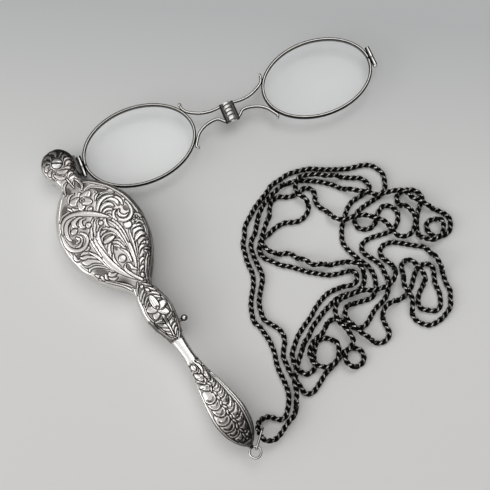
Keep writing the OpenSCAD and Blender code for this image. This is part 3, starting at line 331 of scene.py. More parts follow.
def chain_centre(route):
    """The chain's middle line: it lies on the paper, or as far above it as the third number says."""
    plan = np.array([p[:2] for p in route], float)
    low = [p[2] if len(p) > 2 else 0 for p in route]
    ends = np.vstack([2 * plan[0] - plan[1], plan, 2 * plan[-1] - plan[-2]])
    u = np.arange(16) / 16
    bits = []
    for i in range(len(plan) - 1):
        height = CHAIN_D / 2 + low[i] + (low[i + 1] - low[i]) * u * u * (3 - 2 * u)
        bits.append(np.column_stack([curve_between(*ends[i:i + 4], u), height]))
    return np.vstack(bits + [[*plan[-1], CHAIN_D / 2 + low[-1]]])


centre, run = even_line(chain_centre(CHAIN_ROUTE), CHAIN_LAY / STEPS_A_LAY)
beside, above = sides_of(centre)
angles = turns_of(STRAND_SIDES)
strands = []
for k in range(2):
    turn = 2 * np.pi * (run / CHAIN_LAY + k / 2)
    out = np.cos(turn)[:, None] * beside + np.sin(turn)[:, None] * above
    over = -np.sin(turn)[:, None] * beside + np.cos(turn)[:, None] * above
    strand = skin(f"strand_{k}", wire_rings(centre + STRAND_OUT * out, out, over, STRAND_SIDES, *STRAND_HALF))
    # The mark is wear along each strand's ridge, painted brighter where the strand faces up: a painted
    # highlight.
    facing_up = np.cos(angles)[None, :] * out[:, None, 2] + np.sin(angles)[None, :] * over[:, None, 2]
    ridge = np.clip(np.cos(angles), 0, 1)[None, :] ** 1.5
    mark(strand, "wear_and_highlight", ridge * np.clip(1.3 * facing_up - 0.1, 0.04, 1))
    mark(strand, "run", np.repeat(run, STRAND_SIDES))
    mark(strand, "round", np.tile(np.sin(angles), len(run)))
    strands.append(strand)
neck_chain = join_meshes("rope_chain", strands)

dark_silver, tree, shader = new_material("oxidised silver", {"Metallic": 1, "Roughness": 0.32})
wear_and_highlight = add_node(tree, "Attribute", attribute_name="wear_and_highlight")
along = add_node(tree, "Attribute", attribute_name="run")
across = add_node(tree, "Attribute", attribute_name="round")
slant = add_node(tree, "Math", {1: 0.35}, operation="MULTIPLY_ADD")
wires = add_node(tree, "Math", {1: 2 * math.pi / RING_PITCH}, operation="MULTIPLY")
ripple = add_node(tree, "Math", operation="SINE")
wire_bump = add_node(tree, "Bump", {"Strength": 0.9, "Distance": 0.0001})
spots = add_node(tree, "TexNoise", {"Scale": 1300})
shine = add_node(tree, "Math", operation="MULTIPLY")
tone = tone_ramp(tree, (0.24, (0.012, 0.011, 0.012)), (0.5, (0.85, 0.82, 0.8)))
wire_nodes(tree, (across, "Fac", slant, 0), (along, "Fac", slant, 2), (slant, 0, wires, 0),
           (wires, 0, ripple, 0), (ripple, 0, wire_bump, "Height"), (wire_bump, "Normal", shader, "Normal"),
           (wear_and_highlight, "Fac", shine, 0), (spots, "Fac", shine, 1), (shine, 0, tone, "Fac"),
           (tone, "Color", shader, "Base Color"))
neck_chain.data.materials.append(dark_silver)
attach(neck_chain, "handle")
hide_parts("neck_chain")

# Tail eye: a ring of round silver wire on a short shank, soldered into the tail of the bulb. It was bent and
# closed by hand, and it is worn smooth where the link swings in it.
EYE_Y = -73.35
EYE_R = 1.75
EYE_WIRE_R = 0.35
EYE_BITS = 64
WIRE_SIDES = 16
# The height of the handle's middle above the paper
MID_Z = 6.0
# The shank of the eye, and like it every turned piece below: a radius and a place along the axis each
SHANK = [(0.66, -71.75), (0.74, -71.55), (0.72, -71.3), (0.62, -71.05), (0.58, -70.8), (0.58, -70.4),
         (0.58, -69.65)]


def lathe_rings(profile, axis, centre, sides):
    """Rings of a turned piece, round the axis of that number through its centre."""
    radius, run = np.array(profile, float).T[:, :, None]
    a = turns_of(sides)[None]
    first, second = [k for k in range(3) if k != axis]
    rings = np.empty((len(profile), sides, 3))
    rings[..., axis] = centre[axis] + run
    rings[..., first] = centre[first] + radius * np.cos(a)
    rings[..., second] = centre[second] + radius * np.sin(a)
    return rings


turns = turns_of(EYE_BITS)
eye_line = np.stack([EYE_R * np.sin(turns), EYE_Y + EYE_R * np.cos(turns), np.full(EYE_BITS, MID_Z)], 1)
eye_rings = wire_rings(eye_line, *sides_of(eye_line, closed=True), WIRE_SIDES, EYE_WIRE_R)
eye_ring = skin("eye_ring", eye_rings, closed=True)
angles = turns_of(WIRE_SIDES)
# The eye's wire is painted dark on its sides and bright along its top and bottom: painted shade and
# highlight.
mark(eye_ring, "tarnish_and_painted_shade", np.tile(np.abs(np.cos(angles - 0.15)) ** 2.4, EYE_BITS))
eye_shank = skin("eye_shank", lathe_rings(SHANK, 1, (0, 0, MID_Z), WIRE_SIDES))
mark(eye_shank, "tarnish_and_painted_shade", 0.75)
tail_ring = join_meshes("tail_ring", [eye_ring, eye_shank])

# Drawn silver wire: bright where its mark is low, brown and then black where it is high. On most pieces the
# mark paints the wire's sides dark and its top bright, painted shade and highlight; on the rest it is tarnish
# or polish
wire_silver, tree, shader = new_material("drawn silver wire", {"Metallic": 1})
dark_edge = add_node(tree, "Attribute", attribute_name="tarnish_and_painted_shade")
age = add_node(tree, "TexNoise", {"Scale": 180, "Detail": 6})
age_part = add_node(tree, "Math", {1: 0.5}, operation="MULTIPLY_ADD")
wire_tone = tone_ramp(tree, (0.25, (0.86, 0.86, 0.85)), (0.95, (0.018, 0.017, 0.017)),
                      (0.6, (0.2, 0.185, 0.165)))
wire_gloss = add_node(tree, "MapRange", {"To Min": 0.18, "To Max": 0.36})
wire_nodes(tree, (age, "Fac", age_part, 0), (dark_edge, "Fac", age_part, 2), (age_part, 0, wire_tone, "Fac"),
           (wire_tone, "Color", shader, "Base Color"), (age, "Fac", wire_gloss, "Value"),
           (wire_gloss, "Result", shader, "Roughness"))
tail_ring.data.materials.append(wire_silver)
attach(tail_ring, "handle")
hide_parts("tail_eye")

# Oval link: one turn of drawn silver wire through the tail eye and the chain's loop, standing on its side.
# Its ends meet in a butt joint on one long side.
LINK_TURN = 38
LINK_L = 7.4
LINK_H = 3.9
LINK_WIRE_R = 0.375
link_r = LINK_H / 2 - LINK_WIRE_R
link_run = LINK_L - LINK_H
link_from = EYE_R - EYE_WIRE_R - LINK_WIRE_R - 0.12
around = np.linspace(-np.pi / 2, np.pi / 2, 15)
bend = np.stack([link_run / 2 + link_r * np.cos(around), link_r * np.sin(around)], 1)
straight = np.stack([np.linspace(link_run / 2, -link_run / 2, 7)[1:-1], np.full(5, link_r)], 1)
link_line = np.concatenate([bend, straight, -bend, -straight])
c, s = math.cos(math.radians(LINK_TURN)), math.sin(math.radians(LINK_TURN))
reach = link_from + LINK_L / 2 - LINK_WIRE_R + link_line[:, 0]
upright = np.stack([c * reach, EYE_Y + s * reach, MID_Z + link_line[:, 1]], 1)
inward = unit(np.roll(upright, -1, 0) - np.roll(upright, 1, 0))
flat_side = np.tile([-s, c, 0], (len(upright), 1))
link_rings = wire_rings(upright, flat_side, np.cross(inward, flat_side), WIRE_SIDES, LINK_WIRE_R)
chain_link = skin("chain_link", link_rings, closed=True)
# The link's wire is painted dark on the sides of the link and bright round its rim: painted shade and
# highlight.
mark(chain_link, "tarnish_and_painted_shade", np.tile(np.abs(np.cos(angles)) ** 1.6, len(upright)))
chain_link.data.materials.append(wire_silver)
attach(chain_link, "handle")
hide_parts("oval_link")

# The handle's outline and depth, in millimetres: a round disc for the pivot, a collar, the oval case, a
# waist, a cartouche, a plain neck and a long bulb. Both stamped shells and the side band follow it.
PIVOT_Y = 36
DISC_R = 5.4
WIDTHS = [(-71, 0.85), (-70, 1.89), (-67.5, 3.72), (-64, 5.05), (-60, 5.55), (-56, 5.19), (-50, 4.11),
          (-43.5, 2.6), (-37.5, 1.95), (-34, 2.1), (-30, 2.91), (-26, 4.12), (-21.3, 4.85), (-16, 4.03),
          (-13, 3.25), (-11, 4.05), (-8, 6.61), (-3, 10.16), (3, 12.78), (9, 13.65), (14, 13.21),
          (20, 10.92), (25, 7.04), (27.4, 4.35), (29.7, 3.6), (31.9, 3.91)]
TAIL_DEPTHS = [(-71, 0.85), (-70, 1.51), (-67, 3.02), (-60, 4.2), (-50, 3.57), (-43.5, 2.4), (-37.5, 2.2),
               (-33, 2.2)]
DISC_DEPTHS = [(29.7, 2.2), (36, 2.2), (40.5, 1.98), (41.4, 0.66)]
FRONT_CASE = [(-21.3, 2.64), (-13, 2.33), (-7, 2.79), (2, 3.1), (17, 3.1), (24, 2.67)]
BACK_CASE = [(-21.3, 2.74), (-13, 2.66), (-7, 3.42), (2, 4.1), (17, 4.1), (24, 3.04)]
FRONT_DEPTHS = TAIL_DEPTHS + FRONT_CASE + DISC_DEPTHS
BACK_DEPTHS = TAIL_DEPTHS + BACK_CASE + DISC_DEPTHS
# How far each shell's edge stands from the middle, for the band and the slot between them
GAPS = [(-71, 0), (-32.4, 0), (-31.4, 0.6), (-29.75, 0.75), (-26.65, 0.75), (-24.5, 2.2), (0, 2.2), (47, 2.2)]


def flowing(table, y):
    """A smooth curve through a list of places and values that never swings past them."""
    at, value = np.array(table, float).T
    rise = np.diff(value) / np.diff(at)
    lean = np.zeros(len(at))
    a, b = rise[:-1], rise[1:]
    good = a * b > 0
    lean[1:-1][good] = 2 * a[good] * b[good] / (a + b)[good]
    y = np.clip(y, at[0], at[-1])
    i = np.clip(np.searchsorted(at, y, side="right") - 1, 0, len(at) - 2)
    h = at[i + 1] - at[i]
    u = (y - at[i]) / h
    return ((2 * u ** 3 - 3 * u ** 2 + 1) * value[i] + (u ** 3 - 2 * u ** 2 + u) * h * lean[i]
            + (3 * u ** 2 - 2 * u ** 3) * value[i + 1] + (u ** 3 - u ** 2) * h * lean[i + 1])


def half_width(y):
    up_disc = np.asarray(y, float) - PIVOT_Y
    round_part = np.sqrt(np.maximum(0, DISC_R ** 2 - up_disc ** 2))
    return np.where(up_disc > -0.76 * DISC_R, round_part, flowing(WIDTHS, y))


# Chasing on the shells: a height map, in millimetres, over the handle seen from above. Leaves, scrolls
# and petals are laid on one after another, each outlined by a cut groove, as a chaser's tool leaves it.
CELL = 0.08
CUT = -0.36
CUT_W = 0.27
CUT_MIDDLE = 0.35
CUT_SLOPE = 0.8
BASE = -0.04
VEIN_DEEP = 0.13
VEIN_W = 0.07
grid_x = np.arange(-14, 14 + CELL, CELL)
grid_y = np.arange(-71.5, 42, CELL)
across_x, along_y = np.meshgrid(grid_x, grid_y)
edge_slope = np.gradient(half_width(grid_y), grid_y)
to_edge = (half_width(along_y) - np.abs(across_x)) / np.sqrt(1 + np.clip(edge_slope, -3, 3)[:, None] ** 2)
relief = np.zeros_like(across_x)


def window(low, high):
    i = np.clip(np.searchsorted(grid_x, [low[0], high[0]]), 0, len(grid_x))
    j = np.clip(np.searchsorted(grid_y, [low[1], high[1]]), 0, len(grid_y))
    return slice(j[0], j[1]), slice(i[0], i[1])


def turned_window(x0, y0, turn, room_x, room_y):
    """The part of the map round a place, and how far its cells are along and across a turned direction."""
    part = window((x0 - room_x, y0 - room_y), (x0 + room_x, y0 + room_y))
    c, s = math.cos(math.radians(turn)), math.sin(math.radians(turn))
    x, y = across_x[part] - x0, along_y[part] - y0
    return part, c * x + s * y, c * y - s * x


def lay_on(part, inside, height, soft=1):
    """Puts one form on the height map: its own height inside, and a cut groove all round it."""
    here = relief[part]
    groove = (inside < 0) & (inside > -CUT_W)
    depth = soft * CUT * (1 - np.abs(inside / CUT_W + CUT_MIDDLE).clip(0, 1) * CUT_SLOPE)
    here[groove] = np.minimum(here[groove], depth[groove])
    here[inside >= 0] = height[inside >= 0]


def smooth_line(points, steps):
    """A smooth curve through a few points, with as many steps between each two of them."""
    p = np.asarray(points, float)
    p = np.vstack([2 * p[0] - p[1], p, 2 * p[-1] - p[-2]])
    bits = [curve_between(*p[i:i + 4], np.arange(steps) / steps) for i in range(len(p) - 3)]
    return np.vstack(bits + [p[-2:-1]])


def stroke(points, widths, rise=0.22, veins=0, steps=8, soft=1):
    """A tapering rounded ridge along a smooth line, with fine cut lines along it if it has veins."""
    line = smooth_line(points, steps)
    wide = np.interp(np.linspace(0, 1, len(line)), np.linspace(0, 1, len(widths)), widths) / 2
    room = wide.max() + 0.3
    part = window(line.min(0) - room, line.max(0) + room)
    x, y = across_x[part], along_y[part]
    best = np.full(x.shape, 1e9)
    width = np.zeros(x.shape)
    side = np.zeros(x.shape)
    for k in range(len(line) - 1):
        ax, ay = line[k]
        dx, dy = line[k + 1] - line[k]
        u = np.clip(((x - ax) * dx + (y - ay) * dy) / (dx * dx + dy * dy + 1e-12), 0, 1)
        px, py = x - ax - u * dx, y - ay - u * dy
        far = np.hypot(px, py)
        w = wide[k] + u * (wide[k + 1] - wide[k])
        closer = far - w < best
        best = np.where(closer, far - w, best)
        width = np.where(closer, w, width)
        side = np.where(closer, np.sign(dx * py - dy * px) * far, side)
    width = np.maximum(width, 0.05)
    lateral = side / width
    height = BASE + soft * rise * np.sqrt(np.clip(1 - lateral ** 2, 0, 1))
    for k in range(veins):
        vein_at = (k + 1) / (veins + 1) * 2 - 1
        height -= soft * VEIN_DEEP * np.exp(-((lateral - vein_at) * width / VEIN_W) ** 2)
    lay_on(part, -best, height, soft)


def strokes(*forms, soft=0.9):
    """Lays on a group of forms, lowest first: widths along each, its cut veins, and its points."""
    for widths, veins, points in forms:
        stroke(points, widths, veins=veins, soft=soft)


def oval_boss(x0, y0, rx, ry, turn=0, rise=0.18, dish=0.0, soft=1):
    """A domed oval, with a dished top if it is a flower's eye."""
    room = max(rx, ry) + 0.3
    part, u, v = turned_window(x0, y0, turn, room, room)
    r = np.hypot(u / rx, v / ry)
    height = BASE + rise * np.sqrt(np.clip(1 - r ** 2, 0, 1)) - dish * np.exp(-(r / 0.5) ** 2)
    lay_on(part, (1 - r) * min(rx, ry), height, soft)


def petal(x0, y0, turn, reach, wide):
    """One petal from the flower's centre: broad, and creased down the middle."""
    part, u, v = turned_window(x0, y0, turn, reach + 0.5, reach + 0.5)
    u, v = u / reach, v / (wide / 2)
    bow = np.sin(np.pi * np.clip(np.clip(u, 0.001, 1) ** 0.75, 0, 1))
    half = np.sqrt(np.clip(bow, 0, 1)) * (1 - 0.08 * np.cos(6 * v))
    inside = np.where((u > 0.02) & (u < 1), (half - np.abs(v)) * wide / 2, -1)
    height = 0.06 + 0.16 * np.clip(1 - (v / np.maximum(half, 0.1)) ** 2, 0, 1) ** 0.5
    lay_on(part, inside, height + 0.05 * u - 0.1 * np.exp(-(v / 0.12) ** 2) * (1 - u))


def hollow(x0, y0, rx, ry, turn=0, deep=0.13):
    """A soft sunk place between the forms, which keeps its oxide."""
    part, u, v = turned_window(x0, y0, turn, 2 * rx + 1, 2 * ry + 1)
    relief[part] -= deep * np.clip(1.35 - np.hypot(u / rx, v / ry), 0, 0.6) / 0.6


# Case: a plain ground inside a fine raised border. Two plumes rise from the waist and cross into two large
# scrolls, with lobed leaves outside them and a five-petalled flower under the collar.
field = (to_edge > 1.35) & (along_y > -11.4) & (along_y < 29)
relief[field] = -0.13
line_at = np.exp(-((to_edge - 1.3) / 0.13) ** 2) * 0.1 - np.exp(-((to_edge - 1.0) / 0.09) ** 2) * 0.12
relief += np.where((along_y > -12) & (along_y < 30) & (to_edge < 1.8), line_at, 0)
inner_line = np.exp(-((to_edge - 2.0) / 0.12) ** 2) * 0.1 - np.exp(-((to_edge - 1.72) / 0.1) ** 2) * 0.16
relief += np.where((along_y > -11) & (along_y < 26) & (across_x > 0) & (to_edge < 2.5), inner_line, 0)

for x0, y0, rx, ry, turn in ((-6.6, 21.3, 1.9, 0.9, 42), (6.6, 20.9, 1.9, 0.8, -38),
                             (-2.1, 26.2, 0.9, 1.3, 0),
                             (2.6, 26, 1.2, 1.6, 25), (-12.2, 9, 0.5, 1.4, 0), (11.7, 8.6, 0.6, 1.2, 20),
                             (-10.7, 6.4, 1.2, 0.8, 0), (-11.2, 2, 0.7, 1.6, 25), (-7.6, -1.9, 2.2, 1, -48),
                             (-6.2, -7.4, 3.2, 0.5, -50), (-4, -10, 1.6, 0.5, -55), (11, 2, 0.5, 2, -30),
                             (8.8, -4.4, 1.2, 0.5, 55), (6.2, -5.2, 1, 0.6, 20), (-9.5, 11.1, 0.9, 0.9, 0),
                             (9.9, 11.3, 0.7, 0.9, 0), (0, -6, 0.4, 1.2, 0), (-4.6, 13.2, 0.6, 1, 30),
                             (9.9, 16.4, 0.5, 1.6, 35), (0, 1.8, 0.4, 0.7, 0)):
    hollow(x0, y0, rx, ry, turn)

# Leaves on the left, outside the plumes, above two long lines that follow the border
strokes(([0.2, 0.35, 0.4, 0.35, 0.25], 0,
         [(-9.6, -3.2), (-7.7, -5.6), (-5.9, -7.7), (-4.4, -9.5), (-3, -12)]),
        ([0.2, 0.5, 0.5, 0.2], 0, [(-5.8, -6.9), (-4.4, -8.5), (-3, -10.2), (-1.9, -12)]),
        ([0.4, 0.9, 0.5], 0, [(-8.4, -3.2), (-9.2, -2.4), (-9.6, -1.6)]),
        ([0.4, 1, 0.6], 1, [(-7.6, -4.8), (-8.3, -4), (-8.5, -3)]),
        ([0.5, 1.1, 0.7], 1, [(-6.6, -5.4), (-7.3, -4.4), (-7.1, -3.4)]),
        ([0.4, 1, 1.2, 0.7], 2, [(-4.6, -6.2), (-5.6, -6), (-6.3, -5), (-6, -4.3)]),
        ([0.4, 1.1, 1.2, 0.6], 1, [(-3.8, -4.9), (-4.9, -4.9), (-5.9, -4.2), (-5.8, -3.5)]),
        ([0.4, 0.9, 1.1, 1, 0.5], 2, [(-5, -2.6), (-6.3, -0.8), (-8, 0.6), (-9.6, 1), (-10.6, 0.5)]),
        ([0.4, 1, 1.3, 1.1, 0.6], 2, [(-5.2, -1.8), (-6.4, 0.4), (-8, 1.7), (-9.7, 2), (-10.8, 2.7)]),
        ([0.5, 1.2, 2, 1.9, 0.8], 2, [(-5.6, 0), (-6.6, 1.6), (-8, 2.9), (-9.6, 3.1), (-10.6, 4)]),
        ([0.4, 1, 1.4, 1.2, 0.6], 1, [(-5.7, 1.6), (-6.8, 3.2), (-8.2, 4.6), (-9.6, 4.9), (-10.5, 5.6)]),
        ([0.4, 0.9, 1.1, 0.5], 1, [(-6, 3), (-7.2, 5), (-8.6, 6.1), (-9.8, 6.2)]),
        ([0.5, 0.9, 0.7, 0.5], 0, [(-11.7, 7.6), (-12, 6.6), (-11.8, 5.6), (-11, 5.2)]),
        ([0.4, 0.8, 0.9, 0.8, 0.3], 3, [(-4.4, -4), (-5.1, -0.8), (-5.6, 1.6), (-6.4, 3.8), (-7.4, 5.4)]))
# Leaves on the right
strokes(([0.4, 1, 0.5], 1, [(7.6, -5.6), (7.7, -4.6), (7.2, -3.8)]),
        ([0.4, 1, 0.6], 1, [(8.6, -4), (8.3, -3.2), (7.6, -2.8)]),
        ([0.5, 1, 1.2, 0.6], 2, [(5, -3.6), (6, -2.6), (7.4, -2.2), (8.8, -2.8)]),
        ([0.4, 1, 1, 0.5], 1, [(3.4, -6.6), (4.3, -5.8), (5.3, -5.6), (6.1, -6.2)]),
        ([0.4, 1, 1.1, 0.5], 1, [(1.9, -8.6), (2.9, -7.9), (4, -7.8), (4.9, -8.3)]),
        ([0.5, 1.3, 1.6, 1, 0.5], 2, [(5.4, -2), (6.6, -0.7), (8, -0.1), (9.3, -0.3), (9.9, -1)]),
        ([0.5, 1.5, 2.2, 1.6, 0.6], 2, [(5.7, -0.4), (6.8, 1), (8.2, 1.7), (9.5, 1.5), (10.2, 0.7)]),
        ([0.5, 1.3, 1.7, 1.1, 0.5], 1, [(6.1, 1.2), (7.1, 2.8), (8.4, 3.4), (9.8, 3.1), (10.6, 2.4)]),
        ([0.4, 0.9, 1.2, 0.9, 0.4], 1, [(6.4, 2.8), (7.4, 4.4), (8.8, 4.7), (10.2, 4.3), (11.1, 3.8)]),
        ([0.4, 0.9, 0.9, 0.4], 1, [(9.9, 5.2), (10.9, 5.4), (11.6, 4.9), (11.7, 4)]),
        ([0.5, 1, 0.8], 0, [(11.2, 8), (12, 7.4), (12.3, 6.4)]),
        ([0.3, 0.6, 0.7, 0.7, 0.3], 1, [(1, -9.3), (2.4, -7.2), (4, -4.4), (5.4, -2), (6.6, 0)]),
        ([0.5, 0.7, 0.7, 0.5, 0.3], 1, [(2.7, -11.6), (4, -9.3), (5.4, -7), (6.6, -5.8), (7.4, -5)]),
        ([0.3, 0.6, 0.7, 0.6, 0.3], 1, [(3.4, -5.2), (4.9, -1.8), (5.8, 1), (6.4, 3.4), (7.4, 5)]))
for turn in range(20, 360, 68):
    petal(10.2, 6.8, turn, 1.25, 1.15)
oval_boss(10.2, 6.8, 0.3, 0.3, rise=0.2)
# Palmettes one inside another, between the plumes
strokes(([0.3, 0.7, 0.7, 0.3], 0, [(-1.9, 0.6), (-1.4, 1.7), (-0.7, 2.7), (-0.1, 3.2)]),
        ([0.3, 0.7, 0.7, 0.3], 0, [(1.8, 0.4), (1.4, 1.5), (0.8, 2.4), (0.3, 2.8)]),
        ([0.5, 1, 1.1, 0.9, 0.3], 1, [(-2.5, -0.6), (-2.3, 1.4), (-1.6, 3), (-0.7, 3.9), (0.1, 4.2)]),
        ([0.5, 0.9, 1, 0.9, 0.3], 1, [(2.5, -0.4), (2.4, 1.2), (1.9, 2.7), (1.1, 3.6), (0.4, 3.9)]),
        ([0.5, 0.7, 0.6, 0.4], 0, [(2.9, 1), (2.8, 2.8), (2.2, 3.9), (1.2, 4.4)]))
oval_boss(0, 5.3, 2, 0.85, 0, rise=0.1)
strokes(([0.3, 0.7, 0.9, 0.8, 0.7, 0.4], 0,
         [(-2.5, 5.4), (-1.9, 6.6), (-0.8, 7.2), (0.6, 7.2), (1.9, 6.6), (2.6, 5.2)]),
        ([0.4, 0.7, 0.9, 0.9, 0.4], 2, [(-2.8, 6.2), (-2.2, 7.6), (-1, 8.4), (0.2, 8.4), (1.2, 8.3)]),
        ([0.5, 1.1, 1.2, 1.1, 0.9, 0.3], 3,
         [(3.5, -1), (3.6, 2.4), (3.5, 5), (2.8, 7.1), (1.6, 8.7), (0.2, 9.4)]),
        ([0.5, 1.1, 1.4, 1.3, 0.8, 0.3], 3,
         [(-3.2, 1), (-3.2, 4.4), (-2.9, 6.8), (-2.1, 8.6), (-0.9, 9.6), (0.4, 9.9)]))
oval_boss(0, -2.1, 1.15, 1.2, 0, rise=0.12)
strokes(([0.4, 0.7, 0.7, 0.3], 1, [(-2, -4.4), (-2.3, -2.4), (-2.2, -0.6), (-1.4, 0.8)]),
        ([0.4, 0.7, 0.7, 0.3], 1, [(1.9, -4.4), (2.3, -2.4), (2.1, -0.6), (1.3, 0.8)]))
# The long plumes, from the waist up to the scrolls
strokes(([0.4, 0.9, 1.2, 1.2, 1.1, 0.9, 0.4], 3,
         [(1.8, -7.4), (2.9, -4.8), (3.8, -1.6), (4.3, 1.6), (4.5, 4.8), (4.2, 8), (3, 10.6)]),
        ([0.3, 0.6, 0.7, 0.7, 0.3], 1, [(4.6, 1.4), (5.1, 4.4), (5.1, 7), (4.6, 9.6), (3.9, 11)]),
        ([0.3, 0.9, 1.3, 1.9, 2, 1.7, 1.2, 0.4], 4,
         [(1.9, -12), (-0.4, -9), (-2.3, -6), (-3.5, -3), (-4.1, 0), (-4.3, 3.4), (-4.1, 6.6), (-3.2, 9.6)]),
        ([0.3, 0.6, 0.7, 0.5], 1, [(-5, 2), (-5, 5), (-4.8, 8), (-4, 10.4)]),
        ([0.4, 0.6, 0.9, 0.7, 0.3], 0, [(0.2, -4.1), (1, -5), (1, -6.2), (1.6, -7.1), (1.9, -7.6)]),
        ([0.3, 0.7, 0.8, 0.9, 0.9, 0.5], 1,
         [(0.1, -4.1), (-0.9, -4.9), (-0.9, -6.4), (0, -8.6), (1, -10.4), (2, -12.3)]))
# Crossing stems, and the lobes that hang inside the two large scrolls
strokes(([0.4, 1, 1.1, 1, 0.3], 2, [(-4.2, 8.4), (-3.4, 10.2), (-2.2, 11.8), (-1.2, 13), (-0.5, 13.9)]),
        ([0.4, 0.9, 0.9, 0.3], 1, [(-2.9, 8.8), (-2, 10.6), (-0.8, 12.2), (0.3, 13.2)]),
        ([0.4, 0.9, 0.9, 0.3], 1, [(-1.6, 9.8), (-0.4, 10.9), (0.1, 12), (0.9, 12.9)]),
        ([0.4, 1, 1, 0.4], 1, [(2, 9), (1.9, 10.4), (2.4, 11.6), (3.3, 12.2)]),
        ([0.4, 0.9, 1.2, 1.1, 0.5], 1,
         [(-2.6, 15.2), (-3.6, 15.6), (-4.6, 14.8), (-4.7, 13.6), (-4, 12.9)]),
        ([0.4, 1.2, 1.8, 1.3, 0.5], 2,
         [(-3.2, 16.2), (-4.4, 16.7), (-5.9, 16.4), (-6.6, 15.3), (-6.1, 14.4)]),
        ([0.3, 0.7, 0.8, 0.4], 0, [(-6.8, 17.2), (-8.2, 16.2), (-8.9, 14.6), (-8.8, 13.2)]),
        ([0.4, 1, 1.4, 1.3, 0.9, 0.4], 1,
         [(-3, 17.4), (-5.6, 17.8), (-8, 17.2), (-9.6, 15.4), (-10.2, 13.2), (-9.9, 11.8)]),
        ([0.4, 0.9, 1, 0.8, 0.4], 1, [(2.4, 12.9), (3.6, 13.9), (4.9, 13.9), (5.9, 13.2), (6.3, 12.4)]),
        ([0.4, 1.1, 1.5, 1.2, 0.5], 2, [(2.4, 14), (3.6, 15.2), (5.1, 15.5), (6.5, 14.9), (7, 13.8)]),
        ([0.4, 1, 1.2, 1, 0.5], 1, [(4.8, 16.6), (6.6, 16.7), (8, 15.9), (8.7, 14.6), (8.5, 13.4)]),
        ([0.3, 0.8, 0.9, 0.5], 1, [(8, 17.2), (9.4, 15.8), (9.9, 14.2), (9.7, 12.8)]))
for x0, y0, rx, ry in ((-2.8, 12.9, 0.85, 0.9), (0.8, 11.3, 0.7, 0.75), (3.9, 11.6, 0.8, 0.9),
                       (0.5, 17, 0.8, 0.75), (7.4, 6.3, 1.3, 1.4), (-7.6, 13.7, 1.1, 0.9),
                       (2.4, -9.9, 0.6, 0.8), (-7.2, 6.9, 0.9, 0.8)):
    oval_boss(x0, y0, rx, ry, rise=0.08)
strokes(([0.4, 0.9, 0.9, 0.8, 0.4], 1, [(-9.8, 9.2), (-8.6, 8.9), (-7.4, 9.7), (-6.9, 11), (-7.4, 12)]),
        ([0.4, 0.8, 0.9, 0.4], 0, [(-8.9, 10.2), (-8, 10.2), (-7.7, 11), (-8.2, 11.7)]),
        ([0.5, 1.2, 1.3, 1.1, 1.2, 1, 0.9, 0.4], 2,
         [(-11.6, 15.4), (-12, 12), (-11.5, 9.6), (-9.8, 7.9), (-7.6, 7.6),
          (-5.8, 8.8), (-5.3, 10.8), (-6.2, 12.3)]),
        ([0.4, 0.9, 0.9, 0.7, 0.4], 1, [(9.6, 9.2), (8.3, 9), (7.3, 9.9), (7.1, 11.1), (7.8, 11.9)]),
        ([0.5, 1, 1.1, 1.2, 1.2, 1, 0.4], 2,
         [(11.2, 13.4), (11.4, 11), (10.7, 9), (9, 7.8), (7.2, 8), (6, 9.4), (5.9, 11)]),
        ([0.4, 0.9, 0.9, 0.4], 1, [(5.4, 9.2), (5.2, 10.8), (6, 12.1), (7, 12.2)]),
        ([0.3, 0.5, 0.6, 0.5, 0.3], 0, [(1.8, 15.2), (3.4, 17.4), (4.8, 18.9), (5.2, 20.4), (4.9, 21)]),
        ([0.4, 1.1, 1.4, 1.1, 0.5], 4, [(1.4, 14.2), (2.8, 16.2), (4.6, 17.5), (6.8, 17.7), (8.8, 16.8)]),
        ([0.4, 0.5, 0.5, 0.3], 0, [(4.4, 18.8), (6.4, 19), (8.2, 18.6), (9.6, 17.6)]),
        ([0.5, 1.3, 1.7, 1.7, 1.3, 1.1, 0.9, 0.4], 3,
         [(3.9, 11.4), (2.3, 13.3), (0.4, 15.1), (-1.9, 16.9), (-4.6, 18.4), (-7.4, 18.8), (-9.6, 17.6),
          (-11, 15.2)]),
        ([0.3, 0.5, 0.5, 0.3], 0, [(-3.6, 19.6), (-5.6, 20), (-7.8, 20), (-9.6, 19)]))
strokes(([0.4, 1, 0.5], 1, [(-3.4, 19), (-4.4, 20), (-5.2, 21.2)]),
        ([0.4, 0.9, 0.5], 1, [(-2.6, 18.9), (-3.6, 19.6), (-4, 20.4)]),
        ([0.4, 0.9, 0.4], 1, [(3.4, 18.6), (4.2, 19.6), (5.4, 20)]),
        ([0.3, 0.5, 0.5, 0.3], 0, [(2.8, 23.1), (4.4, 23.2), (6.2, 22), (8.4, 19.9)]),
        ([0.4, 0.8, 0.8, 0.4], 1, [(-1, 24.3), (-2.4, 24.4), (-3.6, 23.6), (-4.2, 22.6)]),
        ([0.4, 0.9, 0.8, 0.4], 1, [(1.8, 24), (2.6, 25.4), (2.6, 27), (1.9, 28.4)]),
        ([0.4, 0.8, 0.8, 0.4], 1, [(-1, 28.8), (-2.2, 28.2), (-3, 27), (-3.3, 25.6)]))
for turn, reach, wide in ((80, 2.9, 1.9), (18, 3.9, 3), (165, 4, 3), (238, 3.5, 2.9), (312, 3.5, 2.8)):
    petal(-0.1, 21, turn, reach, wide)
for k in range(7):
    a = 2 * math.pi * k / 7
    oval_boss(-0.1 + 0.5 * math.cos(a), 21 + 0.5 * math.sin(a), 0.22, 0.22, rise=0.2)
strokes(([0.3, 0.6, 0.4], 0, [(0.2, 26.3), (0.7, 27.3), (1.3, 28)]),
        ([0.5, 0.5, 0.3], 0, [(-0.3, 31), (-0.1, 28.6), (0.1, 26)]))

